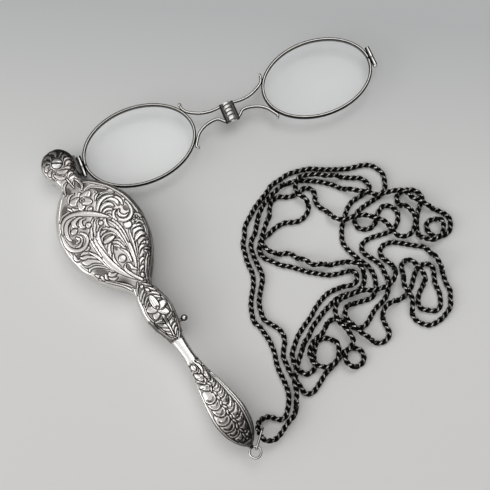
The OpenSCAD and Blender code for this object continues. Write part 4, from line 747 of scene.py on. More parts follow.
# Disc: scrolls and lobes round the screw's recess, running down into the leaf on the collar.
field = (to_edge > 0.75) & (along_y > 30)
relief[field] = np.minimum(relief[field], -0.12)
strokes(([0.5, 1, 1.1, 0.5], 1, [(0.9, 38.4), (1.3, 39.2), (0.8, 40), (-0.1, 40.2)]),
        ([0.5, 1, 1.1, 0.5], 1, [(-0.9, 38.2), (-0.9, 39.2), (-1.7, 39.7), (-2.5, 39.3)]),
        ([0.4, 0.9, 1, 0.5], 1, [(1.9, 37.7), (2.7, 38), (3.3, 38.9), (2.9, 39.6)]),
        ([0.5, 1, 1.2, 0.5], 1, [(-1.9, 37.5), (-2.4, 38.3), (-3.3, 38.4), (-3.8, 37.7)]),
        ([0.4, 1, 1.1, 0.5], 1, [(2.3, 36.5), (3, 37.2), (3.9, 37.2), (4.3, 36.4)]),
        ([0.5, 1.1, 1.2, 0.6], 1, [(-2.5, 36.9), (-3.5, 37), (-4, 36.2), (-3.6, 35.4)]),
        ([0.4, 1, 1.1, 0.5], 1, [(2.4, 35.3), (3.1, 35.9), (3.9, 35.7), (4.3, 35)]),
        ([0.5, 1.2, 1.3, 0.5], 1, [(2.1, 33.9), (2.9, 34.6), (3.6, 34.5), (4.1, 33.7)]),
        ([0.5, 1, 1.1, 0.5], 1, [(-2.5, 35.2), (-3.3, 35), (-3.9, 34.2), (-3.6, 33.3)]),
        ([0.5, 1, 0.9, 0.5], 0, [(-2.4, 34), (-2.9, 33.5), (-3.3, 32.7), (-3.1, 31.9)]),
        ([0.5, 1.2, 1.3, 0.7], 2, [(-2.8, 33.2), (-2.3, 32.2), (-1.6, 31.3), (-0.8, 30.6)]),
        ([0.5, 1.2, 1.2, 0.5], 0, [(1.5, 33.5), (2.2, 33), (2.9, 32.4), (3.2, 31.6)]),
        ([0.6, 1.4, 1.5, 0.6], 1, [(-1.3, 33.7), (-0.5, 32.9), (0.5, 32.3), (1.5, 32.3)]),
        ([0.4, 0.8, 0.8, 0.4], 1, [(0.6, 30.3), (1.4, 31), (2.1, 31.1), (2.6, 30.6)]), soft=0.65)
recess = np.hypot(across_x, along_y - PIVOT_Y)
relief[recess < 2.25] = 0.02

# Waist: narrow leaves laid as chevrons, which cross over one another above the cartouche.
plain_edge = np.where(across_x < 0, 1.35, 0.95)
field = (to_edge > plain_edge) & (along_y < -11.4) & (along_y > -32)
field &= np.abs(across_x) < (along_y + 32.2) * 0.9
relief[field] = -0.22
strokes(([0.3, 0.6, 0.6, 0.3], 0, [(0.9, -19.4), (1.8, -19), (2.7, -19.2), (3.5, -20)]),
        ([0.3, 0.7, 0.7, 0.3], 1, [(0.6, -17), (1.6, -17.4), (2.5, -18.2), (3.3, -19.2)]),
        ([0.3, 0.8, 0.8, 0.3], 1, [(0.5, -15.4), (1.4, -15.9), (2.4, -16.7), (3.2, -17.9)]),
        ([0.4, 0.7, 0.7, 0.3], 1, [(0.4, -13.9), (1.3, -14.2), (2.2, -14.9), (2.9, -16)]),
        ([0.3, 0.7, 0.6, 0.3], 1, [(0.8, -12.1), (1.5, -12.8), (2.2, -13.4), (2.7, -14.2)]),
        ([0.3, 0.6, 0.5, 0.3], 0, [(-0.5, -18), (-1.4, -18.3), (-2.3, -19), (-3, -19.9)]),
        ([0.3, 0.6, 0.6, 0.3], 0, [(0, -16.4), (-0.9, -16.9), (-1.9, -17.7), (-2.8, -18.8)]),
        ([0.3, 0.7, 0.6, 0.3], 1, [(-0.2, -15.2), (-1, -15.6), (-2, -16.4), (-2.9, -17.7)]),
        ([0.4, 0.9, 0.8, 0.3], 1, [(0.1, -13.8), (-0.8, -14.3), (-1.8, -15.1), (-2.7, -16.2)]),
        ([0.3, 0.6, 0.5, 0.3], 0, [(-0.3, -11), (-1, -12), (-1.9, -13), (-2.5, -14)]))
oval_boss(0, -12.8, 0.55, 0.6, 0, rise=0.14)
oval_boss(0.9, -14.6, 0.5, 0.85, 20, rise=0.2)

# Cartouche: a five-petalled flower above a pointed leaf, inside a border line that runs to a point.
for points in ([(3.3, -18.6), (3.9, -21.2), (3.6, -23.8), (2.7, -27.2), (1.6, -30), (0.1, -31.9)],
               [(-2.7, -17.8), (-3.5, -21.2), (-3.2, -23.8), (-2.4, -27.2), (-1.4, -30), (-0.1, -31.9)]):
    stroke(points, [0.3, 0.35, 0.35, 0.35, 0.3], rise=0.12)
strokes(([0.3, 0.7, 0.8, 0.4], 1, [(0.5, -30.6), (1, -29.7), (1.6, -29.2), (1.9, -28.6)]),
        ([0.3, 0.8, 0.9, 0.4], 1, [(0.4, -29.2), (1, -28.4), (1.8, -27.9), (2.3, -27.1)]),
        ([0.4, 0.9, 1, 0.5], 1, [(0.4, -27.7), (1.1, -26.9), (1.9, -26.7), (2.6, -26)]),
        ([0.4, 0.9, 0.9, 0.5], 1, [(0.5, -26.2), (1.3, -25.5), (2.2, -25.3), (3, -24.6)]),
        ([0.3, 0.7, 0.8, 0.4], 1, [(-0.4, -30.6), (-0.8, -29.7), (-1.3, -29), (-1.5, -28.2)]),
        ([0.3, 0.9, 1, 0.4], 2, [(-0.2, -29.4), (-0.7, -28.4), (-1.4, -27.6), (-2, -26.6)]),
        ([0.4, 0.9, 1, 0.5], 2, [(-0.1, -27.9), (-0.8, -26.9), (-1.6, -26.3), (-2.4, -25.5)]),
        ([0.4, 0.8, 0.8, 0.5], 1, [(0, -26.3), (-0.8, -25.4), (-1.7, -25), (-2.7, -24.6)]),
        ([0.7, 0.8, 0.5, 0.3], 1, [(0.4, -23.8), (0.3, -26), (0.1, -28.4), (-0.3, -31)]))
for turn, reach, wide in ((226, 3.6, 2.5), (-56, 3.7, 2.4), (158, 3.5, 2.6), (14, 3.6, 2.6), (88, 4.9, 2.3)):
    petal(0.3, -21.3, turn, reach, wide)
oval_boss(0.3, -21.2, 0.4, 0.4, rise=0.22, dish=0.1)

# Bulb: an oval bud, then round lobes of a leaf that overlap towards the tail on both sides of a spine, inside
# long border lines. No two lobes are alike, as they were punched by hand.
CREASE_IN = 0.66
field = (to_edge > 0.55) & (along_y < -40.7) & (along_y > -69.5)
field &= across_x < 0.62 * half_width(along_y) + 0.4
relief[field] = -0.2


def scale(side, y0, share, ry, lean):
    """One scale: a lobe whose round lower edge is cut deep, with a lighter crease inside it."""
    rx = 0.5 * share * float(half_width(y0 + 1.2))
    sway = 0.16 * math.sin(5 * y0)
    oval_boss(side * (rx + 0.05), y0 + ry + sway, rx, ry, -side * (lean + 60 * sway), rise=0.24)
    crease = []
    for turn in (205, 235, 265, 295, 320):
        a = math.radians(turn if side < 0 else 540 - turn)
        crease.append((side * (rx + 0.05) + CREASE_IN * rx * math.cos(a),
                       y0 + ry + sway + CREASE_IN * ry * math.sin(a)))
    stroke(crease, [0.05, 0.12, 0.14, 0.12, 0.05], rise=-0.12, steps=3, soft=0.45)


for side, share, rows in ((1, 0.64, (-69.2, -67, -64.8, -62.4, -59.7, -57, -54.7, -52.6, -50.3, -48, -45.3)),
                          (-1, 0.84, (-69, -66.6, -64.4, -62.2, -59.4, -56.8, -54.4, -51.2, -48.8, -47,
                                      -44.8))):
    for y0 in rows:
        scale(side, y0, share * (0.93 + 0.12 * math.sin(3.1 * y0)), 2.2 + 0.4 * math.sin(2.3 * y0), 24)
for k in range(13):
    oval_boss(0.2 * math.sin(2.4 * k), -67.6 + 1.7 * k, 0.3, 0.8, 25 * math.sin(2.4 * k), rise=0.14, soft=0.7)
for share in (-0.93, 0.74, 0.87):
    line = [(share * float(half_width(y)), y) for y in (-46, -50, -54, -58, -62, -66, -68.5)]
    stroke(line, [0.2, 0.4, 0.4, 0.4, 0.2], rise=0.12, steps=4, soft=0.6)
for x0, y0, rx, ry, turn in ((-1.8, -47.4, 1, 0.5, 20), (-2.4, -53.2, 1.2, 0.6, 25),
                             (-2.9, -59.4, 1.4, 0.6, 30),
                             (-2.6, -64.4, 1.6, 0.7, 30), (1.9, -56, 0.8, 0.5, -20), (2, -62, 0.9, 0.6, -20)):
    hollow(x0, y0, rx, ry, turn, 0.14)
oval_boss(-1, -42.3, 1.05, 1.6, 8, rise=0.1)
oval_boss(-1, -42.2, 0.7, 1.15, 8, rise=0.2)
strokes(([0.4, 0.9, 0.8, 0.4], 0, [(0.2, -41), (0.8, -42.4), (0.9, -43.8), (0.4, -45)]))


SOFT_ROUNDS = 14


def smoothed(heights, own):
    """The map with each cell evened out with its four neighbours."""
    even = heights.copy()
    even[1:-1, 1:-1] = (own * heights[1:-1, 1:-1] + heights[:-2, 1:-1] + heights[2:, 1:-1]
                        + heights[1:-1, :-2] + heights[1:-1, 2:]) / (own + 4)
    return even


relief = smoothed(relief, 2)
softened = relief
for _ in range(SOFT_ROUNDS):
    softened = smoothed(softened, 1)

# Front and back shells: silver sheet 0.6 mm thick, stamped and then chased by hand. The ground between the
# leaves is left dark with oxide and the raised parts are rubbed bright; some patches are painted shade and
# painted highlight instead. The two meet along the handle's edge.
WALL = 0.6
SQUARENESS = 2.6
RECESS_R = 1.87
RECESS_FLOOR = 4.0
SCREW_HOLE_R = 1.2
PAPER_GAP = 0.02
TAIL_Y = -71
TOP_Y = 41.3
FLAT_EDGE = 0.012
FLAT_END = 0.6
PLAIN_OXIDE = 0.4
# The oxide: the least of it, what hollows and the sunk ground add, and the depths that go quite dark
LEAST_OXIDE = 0.18
HOLLOW_OXIDE = 0.7
GROUND_OXIDE = 0.6
DARK_HOLLOW = 0.26
GROUND_FROM = 0.08
DARK_GROUND = 0.24
# The rows of the mesh along the handle, wide apart only on the plain neck, and its columns across
ROWS = np.concatenate([np.linspace(TAIL_Y, -41, 134)[:-1], np.linspace(-41, -33, 15)[:-1],
                       np.linspace(-33, -12, 100)[:-1], np.linspace(-12, 40, 292),
                       PIVOT_Y + DISC_R * np.sin(np.radians(np.linspace(49, 88.5, 12)))])
even_across = np.concatenate([[-1, -0.9985, -0.996, -0.992], np.linspace(-1, 1, 149)[1:-1],
                              [0.992, 0.996, 0.9985, 1]])
ACROSS = 0.5 * even_across + 0.5 * np.sin(even_across * np.pi / 2)
INSIDE_ACROSS = np.sin(np.linspace(-np.pi / 2, np.pi / 2, 15))


def read_map(heights, x, y):
    i = np.clip((x - grid_x[0]) / CELL, 0, len(grid_x) - 1.001)
    j = np.clip((y - grid_y[0]) / CELL, 0, len(grid_y) - 1.001)
    a, b = i.astype(int), j.astype(int)
    u, v = i - a, j - b
    return ((heights[b, a] * (1 - u) + heights[b, a + 1] * u) * (1 - v)
            + (heights[b + 1, a] * (1 - u) + heights[b + 1, a + 1] * u) * v)


def shell_section(y, depths, inset, share):
    """Points of the dome over each place along the handle: across, along and out."""
    wide = np.maximum(0.12, half_width(y) - inset)[:, None]
    deep = np.maximum(0.12, flowing(depths, y) - inset)[:, None]
    arch = np.clip(1 - np.abs(share) ** SQUARENESS, 0, 1) ** (1 / SQUARENESS)
    out = flowing(GAPS, y)[:, None] + deep * arch[None, :]
    return np.stack([wide * share[None, :], np.repeat(y[:, None], len(share), 1), out], 2)


def near(x, y, x0, y0, size):
    """How near each place is to a spot: one in its middle, and none well outside it."""
    return np.clip(1.6 - np.hypot(x - x0, y - y0) / size, 0, 1)


def stamped_shell(name, depths, side):
    """A shell of two sheets, the outer one chased, closed along the handle's edge."""
    outside = shell_section(ROWS, depths, 0, ACROSS)
    away = unit(np.cross(np.gradient(outside, axis=0), np.gradient(outside, axis=1)))
    away[away[..., 2] < 0] *= -1
    from_screw = np.hypot(outside[..., 0], outside[..., 1] - PIVOT_Y)
    edge_fade = np.clip((1 - np.abs(ACROSS)) / FLAT_EDGE, 0, 1)[None, :]
    end_fade = np.clip(np.minimum(ROWS - TAIL_Y, TOP_Y - ROWS) / FLAT_END, 0, 1)[:, None]
    raised = read_map(relief, outside[..., 0], outside[..., 1]) * edge_fade * end_fade
    outside = outside + away * raised[..., None]
    inside = shell_section(np.clip(ROWS, -68.9, 40.7), depths, WALL, INSIDE_ACROSS)
    if side > 0:
        outside[from_screw < RECESS_R, 2] = RECESS_FLOOR
    for points in (outside, inside):
        points[..., 2] = MID_Z + side * points[..., 2]
    if side < 0:
        outside[..., 2] = np.maximum(outside[..., 2], PAPER_GAP)
    outer = np.arange(from_screw.size).reshape(from_screw.shape)
    inner = outer.size + np.arange(inside[..., 0].size).reshape(inside.shape[:2])
    sheets = []
    for cells, flip in ((outer, side < 0), (inner, side > 0)):
        quads = np.stack([cells[:-1, :-1], cells[:-1, 1:], cells[1:, 1:], cells[1:, :-1]], -1)
        sheets.append(quads[..., ::-1] if flip else quads)
    if side > 0:
        hole = from_screw < SCREW_HOLE_R
        sheets[0] = sheets[0][~(hole[:-1, :-1] & hole[1:, :-1] & hole[:-1, 1:] & hole[1:, 1:])]
    faces = [face for quads in sheets for face in quads.reshape(-1, 4).tolist()]
    for column, flip in ((0, side > 0), (-1, side < 0)):
        a, b, c, d = outer[:-1, column], outer[1:, column], inner[:-1, column], inner[1:, column]
        faces += np.stack([a, b, d, c] if flip else [a, c, d, b], 1).tolist()
    points = np.concatenate([outside.reshape(-1, 3), inside.reshape(-1, 3)])
    piece = mesh_piece(name, points, faces, smooth=True)

    x, y = outside[..., 0], outside[..., 1]
    sunk = np.clip((read_map(softened, x, y) - raised) / DARK_HOLLOW, -0.4, 1)
    depth_tone = np.clip((-raised - GROUND_FROM) / DARK_GROUND, 0, 1)
    from_edge = read_map(to_edge, x, y)
    # Darker: painted shade on the disc's top, the right border, the cartouche's left and a patch at lower
    # left, and darker towards the tail
    painted_shade_and_darker_tail = (0.38 * np.clip((y - 36.2 + 0.25 * x) / 1.6, 0, 1) + 0.16 * np.clip(y - 31, 0, 1)
                + 0.5 * np.clip((-57 - y - 0.3 * x) / 9, 0, 1)
                + 0.4 * np.clip((1.5 - from_edge) / 0.6, 0, 1) * ((x > 0) & (y > -31))
                + 0.45 * np.clip((1.6 - from_edge) / 0.4, 0, 1) * ((x < 0) & (np.abs(y + 27.5) < 4.5))
                + 0.4 * near(x, y, -4.4, -9, 1.9) * (from_edge > 1.3))
    # Lighter: the flower, and a painted highlight down the middle of the plain neck
    painted_highlight_and_flower = (0.12 * near(x, y, -0.1, 21, 2.8)
              + 0.22 * np.exp(-((x + 0.3) / 0.7) ** 2) * (np.abs(y + 37) < 4.5))
    tone = LEAST_OXIDE + HOLLOW_OXIDE * sunk + GROUND_OXIDE * depth_tone + painted_shade_and_darker_tail - painted_highlight_and_flower
    # Round the screw the recess and its rim are painted black: painted shadow in the recess.
    tone = np.where(from_screw < RECESS_R + 0.08, 1, np.clip(tone, 0, 1))
    mark(piece, "oxide_and_painted_light", np.concatenate([tone.ravel(), np.full(inner.size, PLAIN_OXIDE)]))
    return piece


chased_silver, tree, shader = new_material("chased silver", {"Metallic": 1})
oxide_and_painted_light = add_node(tree, "Attribute", attribute_name="oxide_and_painted_light")
cloud = add_node(tree, "TexNoise", {"Scale": 260, "Detail": 4})
blend_tone = add_node(tree, "Math", {1: 0.25}, operation="MULTIPLY_ADD")
silver_tone = tone_ramp(tree, (0.12, (0.9, 0.88, 0.86)), (0.92, (0.03, 0.028, 0.027)),
                        (0.5, (0.44, 0.41, 0.39)))
dullness = add_node(tree, "MapRange", {"To Min": 0.2, "To Max": 0.5})
scratches = add_node(tree, "Bump", {"Strength": 0.12, "Distance": 0.0001})
wire_nodes(tree, (cloud, "Fac", blend_tone, 0), (oxide_and_painted_light, "Fac", blend_tone, 2),
           (blend_tone, 0, silver_tone, "Fac"), (silver_tone, "Color", shader, "Base Color"),
           (oxide_and_painted_light, "Fac", dullness, "Value"), (dullness, "Result", shader, "Roughness"),
           (cloud, "Fac", scratches, "Height"), (scratches, "Normal", shader, "Normal"))
for name, node, depths, side in (("front_cover", "front_shell", FRONT_DEPTHS, 1),
                                 ("back_cover", "back_shell", BACK_DEPTHS, -1)):
    cover = stamped_shell(name, depths, side)
    cover.data.materials.append(chased_silver)
    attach(cover, "handle")
    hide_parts(node)

# Side band: a strip of silver soldered between the shells along the closed left edge, from the cartouche up
# and round the pivot disc. It is plain, softly rounded and the most polished part of the handle.
BAND_T = 0.5
BAND_FROM = -31.9
BAND_FADE = 1.5
# Section of the band, as shares of its half height and its thickness; below zero stands out of the edge
BAND_SECTION = [(-1, 1), (-1, 0.08), (-0.93, -0.1), (-0.75, -0.26), (-0.4, -0.4), (0, -0.44), (0.4, -0.4),
                (0.75, -0.26), (0.93, -0.1), (1, 0.08), (1, 1)]
band_y = np.concatenate([np.linspace(BAND_FROM, 33.9, 330),
                         PIVOT_Y + DISC_R * np.sin(np.radians(np.linspace(-22, 35, 40)))])
band_slope = (half_width(band_y + 0.05) - half_width(band_y - 0.05)) / 0.1
band_in = unit(np.stack([np.ones_like(band_y), band_slope, np.zeros_like(band_y)], 1))
band_edge = np.stack([-half_width(band_y), band_y, np.full_like(band_y, MID_Z)], 1)
half_high = flowing(GAPS, band_y) - 0.01
band_fade = np.clip(np.minimum(band_y - BAND_FROM, band_y[-1] - band_y) / BAND_FADE, 0, 1)
band_rings = []
for up_share, in_share in BAND_SECTION:
    sunk = np.where(in_share < 0, in_share * BAND_T * band_fade, max(in_share, 0.04) * BAND_T)
    ring = band_edge + sunk[:, None] * band_in
    ring[:, 2] += up_share * half_high
    band_rings.append(ring)
edge_strip = skin("edge_strip", np.stack(band_rings, 1))
mark(edge_strip, "tarnish_and_painted_shade", 0.1)
edge_strip.data.materials.append(wire_silver)
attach(edge_strip, "handle")
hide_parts("side_band")

# Pivot screw: a steel shank with a domed silvered head, turned on a lathe, and a sawn slot across it. It sits
# in a round recess of the disc, and the nut riveted over its lower end never shows from above.
SCREW_R = 1.0
HEAD_R = 1.75
HEAD_SEAT = 10.1
HEAD_H = 0.8
DOME_R = 3.6
SLOT_HALF = 0.28
SLOT_DEEP = 0.4
SLOT_TURN = -35
DISC_BOTTOM = 1.6
HEAD_SIDES = 64
SAW_HALF_L = 4
SAW_TOP = 12


def places(piece):
    """The points of a piece's mesh, in millimetres."""
    return np.array([v.co for v in piece.data.vertices]) / MM


def keep_shape(piece):
    """Makes what a piece's modifiers do part of its mesh."""
    bpy.context.view_layer.update()
    done = bpy.data.meshes.new_from_object(piece.evaluated_get(bpy.context.evaluated_depsgraph_get()))
    piece.modifiers.clear()
    piece.data = done


def cut_away(piece, cutter):
    """Saws one solid out of another and throws the cutter away."""
    saw = piece.modifiers.new("saw", "BOOLEAN")
    saw.operation = "DIFFERENCE"
    saw.solver = "EXACT"
    saw.object = cutter
    keep_shape(piece)
    bpy.data.objects.remove(cutter)


def plate_stock(name, outline, low, high):
    """A flat plate with the given outline, cut from sheet."""
    n = len(outline)
    points = [(x, y, z) for z in (low, high) for x, y in outline]
    faces = [tuple(range(n))[::-1], tuple(range(n, 2 * n))]
    faces += [(i, (i + 1) % n, n + (i + 1) % n, n + i) for i in range(n)]
    return mesh_piece(name, points, faces)


dome_low = HEAD_SEAT + HEAD_H - DOME_R
head = [(SCREW_R, DISC_BOTTOM - 0.3), (SCREW_R, HEAD_SEAT - 0.02), (HEAD_R * 0.97, HEAD_SEAT),
        (HEAD_R, HEAD_SEAT + 0.05), (HEAD_R, HEAD_SEAT + 0.12)]
for height in np.linspace(math.sqrt(DOME_R ** 2 - HEAD_R ** 2) + 0.06, DOME_R, 12)[:-1]:
    head.append((math.sqrt(DOME_R ** 2 - height ** 2), dome_low + height))
head.append((0.05, HEAD_SEAT + HEAD_H))
slotted_screw = skin("slotted_screw", lathe_rings(head, 2, (0, PIVOT_Y, 0), HEAD_SIDES))
c, s = math.cos(math.radians(SLOT_TURN)), math.sin(math.radians(SLOT_TURN))
slot_outline = [(c * x - s * y, PIVOT_Y + s * x + c * y)
                for x, y in ((-SAW_HALF_L, -SLOT_HALF), (SAW_HALF_L, -SLOT_HALF),
                             (SAW_HALF_L, SLOT_HALF), (-SAW_HALF_L, SLOT_HALF))]
cut_away(slotted_screw, plate_stock("slot_saw", slot_outline, HEAD_SEAT + SLOT_DEEP, SAW_TOP))
slotted_screw.data.polygons.foreach_set("use_smooth", np.array([
    abs(face.normal.z) < 0.999 and face.area < 0.4 * MM ** 2 and face.center.z > (HEAD_SEAT + 0.1) * MM
    for face in slotted_screw.data.polygons]))
x, y, z = places(slotted_screw).T
# The slot and the foot of the head are painted black: painted shade in the slot and under the head's rim.
in_slot = (np.abs(c * (y - PIVOT_Y) - s * x) < SLOT_HALF + 0.02) & (z < HEAD_SEAT + SLOT_DEEP + 0.02)
mark(slotted_screw, "slot_shade", in_slot | (z < HEAD_SEAT + 0.08))

bright_steel, tree, shader = new_material("turned steel", {"Metallic": 1, "Roughness": 0.3})
slot_shade = add_node(tree, "Attribute", attribute_name="slot_shade")
shade_mixed = add_node(tree, "Mix", {"B": (0.03, 0.028, 0.027, 1)}, data_type="RGBA")
lathe_marks = add_node(tree, "TexNoise", {"Scale": 900})
steel_tone = tone_ramp(tree, (0, (0.84, 0.83, 0.81)), (1, (0.96, 0.95, 0.94)))
marks_bump = add_node(tree, "Bump", {"Strength": 0.1, "Distance": 0.00005})
wire_nodes(tree, (lathe_marks, "Fac", steel_tone, "Fac"), (steel_tone, "Color", shade_mixed, "A"),
           (slot_shade, "Fac", shade_mixed, "Factor"), (shade_mixed, "Result", shader, "Base Color"),
           (lathe_marks, "Fac", marks_bump, "Height"), (marks_bump, "Normal", shader, "Normal"))
slotted_screw.data.materials.append(bright_steel)
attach(slotted_screw, "handle")
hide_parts("pivot_screw")

# Washer plates, nut, springs and latch: plain steel pieces inside the handle, greyed by age and oil. They
# keep the shapes they were machined to.
dull_steel, tree, shader = new_material("oiled steel", {"Metallic": 1})
oil = add_node(tree, "TexNoise", {"Scale": 350, "Detail": 6})
oil_tone = tone_ramp(tree, (0, (0.16, 0.15, 0.14)), (1, (0.5, 0.49, 0.48)))
oil_gloss = add_node(tree, "MapRange", {"To Min": 0.5, "To Max": 0.28})
wire_nodes(tree, (oil, "Fac", oil_tone, "Fac"), (oil_tone, "Color", shader, "Base Color"),
           (oil, "Fac", oil_gloss, "Value"), (oil_gloss, "Result", shader, "Roughness"))
for node in ("front_pivot_plate", "back_pivot_plate", "pivot_nut", "pivot_spring", "latch_guide",
             "release_latch", "spring_seat", "bridge_spring"):
    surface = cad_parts[node].data.materials
    surface.clear()
    surface.append(dull_steel)

# Tongue: a silver barrel that turns on the screw between the two discs, with an arm out to an upright plate.
# The near rim's closing tube is soldered to the plate, and the joint is still brown from the heat.
OPEN_ANGLE = 12.8
LINE_DROP = 2
HALF_SLOT = 2.2
FOLD_PITCH = 1.8
RIM_H = 1.5
LENS_Z = MID_Z - FOLD_PITCH / 2
RIM_L = 38.1
TUBE_R = 0.8
TUBE_UP = 3.8
TUBE_DOWN = 3.2
TUBE_REACH = RIM_L / 2 + 0.7
# Names that end in _S are distances from the pivot, along the line through both lenses
NEAR_S = 26.6
NEAR_TUBE_S = NEAR_S - TUBE_REACH
TONGUE_FACE = NEAR_TUBE_S - TUBE_R - 0.1
TONGUE_BACK = TONGUE_FACE - 1.15
BARREL_R = 2.6
BARREL_BORE = 1.1
BARREL_HALF = HALF_SLOT - 0.05
BARREL_SIDES = 64
ARM_FROM = 2.0
ARM_BELOW = 1.7
ARM_ABOVE = 1.3
FILED = 0.12


def block(name, low, high):
    """A bar with flat sides, from its lowest corner to its highest."""
    return plate_stock(name, [(low[0], low[1]), (high[0], low[1]), (high[0], high[1]), (low[0], high[1])],
                       low[2], high[2])


def set_on_lens_line(piece):
    """Moves a finished mesh from measures along the line through both lenses to its place on the part."""
    p = places(piece)
    c, s = math.cos(math.radians(OPEN_ANGLE)), math.sin(math.radians(OPEN_ANGLE))
    x, y = p[:, 0].copy(), p[:, 1] - LINE_DROP
    p[:, 0], p[:, 1] = c * x + s * y, PIVOT_Y + c * y - s * x
    piece.data.vertices.foreach_set("co", (p * MM).astype(np.float32).ravel())
    piece.data.update()


def soften_edges(piece, width, segments=3):
    """Files every sharp edge round, and keeps the flats flat."""
    file = piece.modifiers.new("file", "BEVEL")
    file.width = width * MM
    file.segments = segments
    file.limit_method = "ANGLE"
    file.angle_limit = math.radians(35)
    file.harden_normals = True
    piece.data.polygons.foreach_set("use_smooth", np.ones(len(piece.data.polygons), bool))
    keep_shape(piece)


tongue_low, tongue_high = LENS_Z - RIM_H / 2, LENS_Z + RIM_H / 2 + FOLD_PITCH
barrel_half = [(BARREL_BORE, -BARREL_HALF), (BARREL_R - FILED, -BARREL_HALF), (BARREL_R, FILED - BARREL_HALF)]
barrel_side = barrel_half + [(radius, -z) for radius, z in barrel_half[::-1]]
barrel = skin("barrel", lathe_rings(barrel_side, 2, (0, LINE_DROP, MID_Z), BARREL_SIDES))
arm_stock = block("arm_stock", (ARM_FROM, LINE_DROP - ARM_BELOW, tongue_low),
                  (TONGUE_BACK + 0.1, LINE_DROP + ARM_ABOVE, tongue_high))
soften_edges(arm_stock, FILED)
plate_outline = [(TONGUE_BACK, 1.8 - TUBE_DOWN), (TONGUE_FACE - 0.46, 0.3 - TUBE_DOWN),
                 (TONGUE_FACE, 0.5 - TUBE_DOWN), (TONGUE_FACE, TUBE_UP), (TONGUE_BACK, TUBE_UP)]
upright_plate = plate_stock("upright_plate", plate_outline, tongue_low, tongue_high)
soften_edges(upright_plate, 0.14)
solder = []
for k, y in enumerate(np.linspace(-TUBE_DOWN + 0.8, TUBE_UP - 0.4, 24)):
    x = TONGUE_FACE + 0.14
    fat = 0.42 + 0.05 * math.sin(2.3 * k) + 0.03 * math.sin(5.1 * k)
    solder.append([(x + 0.3 * math.cos(a), y, LENS_Z + fat * math.sin(a)) for a in turns_of(12)])
solder_line = skin("solder_line", np.array(solder))
lens_tongue = join_meshes("lens_tongue", [barrel, arm_stock, upright_plate, solder_line])
mark(lens_tongue, "heat", np.clip(1 - (TONGUE_FACE + 0.1 - places(lens_tongue)[:, 0]) / 0.55, 0, 1))
set_on_lens_line(lens_tongue)

heated_silver, tree, shader = new_material("heated silver", {"Metallic": 1})
heat = add_node(tree, "Attribute", attribute_name="heat")
stain = add_node(tree, "TexNoise", {"Scale": 600, "Detail": 5})
stain_tone = tone_ramp(tree, (0.3, (0.03, 0.028, 0.028)), (0.7, (0.2, 0.19, 0.185)))
brown = add_node(tree, "Mix", {"B": (0.19, 0.105, 0.05, 1)}, data_type="RGBA")
stain_gloss = add_node(tree, "MapRange", {"To Min": 0.42, "To Max": 0.24})
wire_nodes(tree, (stain, "Fac", stain_tone, "Fac"), (heat, "Fac", brown, "Factor"),
           (stain_tone, "Color", brown, "A"), (brown, "Result", shader, "Base Color"),
           (stain, "Fac", stain_gloss, "Value"), (stain_gloss, "Result", shader, "Roughness"))
lens_tongue.data.materials.append(heated_silver)
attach(lens_tongue, "near_frame")
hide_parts("pivot_tongue")

# Closing tubes: two halves soldered to the rim's ends, and a long screw that draws them together so that the
# rim grips its lens. The far one stands free at the tip.
TUBE_BORE = 0.42
TUBE_SIDES = 32
TUBE_PARTING = 0.05
LENS_GAP = 62.6
FAR_S = NEAR_S + LENS_GAP
FAR_TUBE_S = FAR_S + TUBE_REACH
TUBE_END = [(TUBE_R - 0.1, 0), (TUBE_R - 0.02, 0.06), (TUBE_R, 0.14)]
SCREW_SIDE = [(0.4, -TUBE_UP - TUBE_DOWN), (0.4, -0.02), (0.74, 0), (0.76, 0.12), (0.7, 0.34), (0.55, 0.54),
              (0.3, 0.68), (0.03, 0.72)]


def half_tube(name, s, low, high):
    """One half of a closing tube, a short tube with filed ends, bored right through."""
    side = [(radius, low + run) for radius, run in TUBE_END]
    side += [(radius, high - run) for radius, run in TUBE_END[::-1]]
    side += [(TUBE_BORE, high), (TUBE_BORE, low)]
    tube = skin(name, lathe_rings(side, 1, (s, 0, LENS_Z), TUBE_SIDES), closed=True)
    # The tube is painted dark on its sides and bright along its top and bottom: painted shade and highlight.
    mark(tube, "tarnish_and_painted_shade", np.clip(0.05 + 1.1 * (np.abs(places(tube)[:, 0] - s) / TUBE_R) ** 1.6, 0, 1))
    set_on_lens_line(tube)
    return tube


def closing_screw(name, s):
    """The long screw of a closing tube, with a domed and slotted head at its lower end."""
    side = [(radius, -TUBE_DOWN - run) for radius, run in SCREW_SIDE]
    screw = skin(name, lathe_rings(side, 1, (s, 0, LENS_Z), TUBE_SIDES), flip=True)
    cut_away(screw, block("head_saw", (s - 1, -TUBE_DOWN - 1, LENS_Z - 0.11),
                          (s + 1, -TUBE_DOWN - 0.4, LENS_Z + 0.11)))
    set_on_lens_line(screw)
    return screw


for side, s, body in (("near", NEAR_TUBE_S, "near_frame"), ("far", FAR_TUBE_S, "far_frame")):
    for part, low, high in (("upper", TUBE_PARTING, TUBE_UP), ("lower", -TUBE_DOWN, -TUBE_PARTING)):
        tube = half_tube(f"{side}_{part}_closing_tube", s, low, high)
        tube.data.materials.append(wire_silver)
        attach(tube, body)
        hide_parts(f"{side}_{part}_tube")
    screw = closing_screw(f"{side}_rim_screw", s)
    screw.data.materials.append(bright_steel)
    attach(screw, body)
    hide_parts(f"{side}_closing_screw")

# Rims: silver wire drawn with a groove inside for the lens, bent to an oval and left open where the closing
# tube draws its ends together. Its edges are rounded over and are painted with thin dark lines of shade, and
# its top with a painted highlight.
RIM_T = 1.0
RIM_W = 27.2
RIM_SPLIT = 0.3
RIM_RINGS = 221
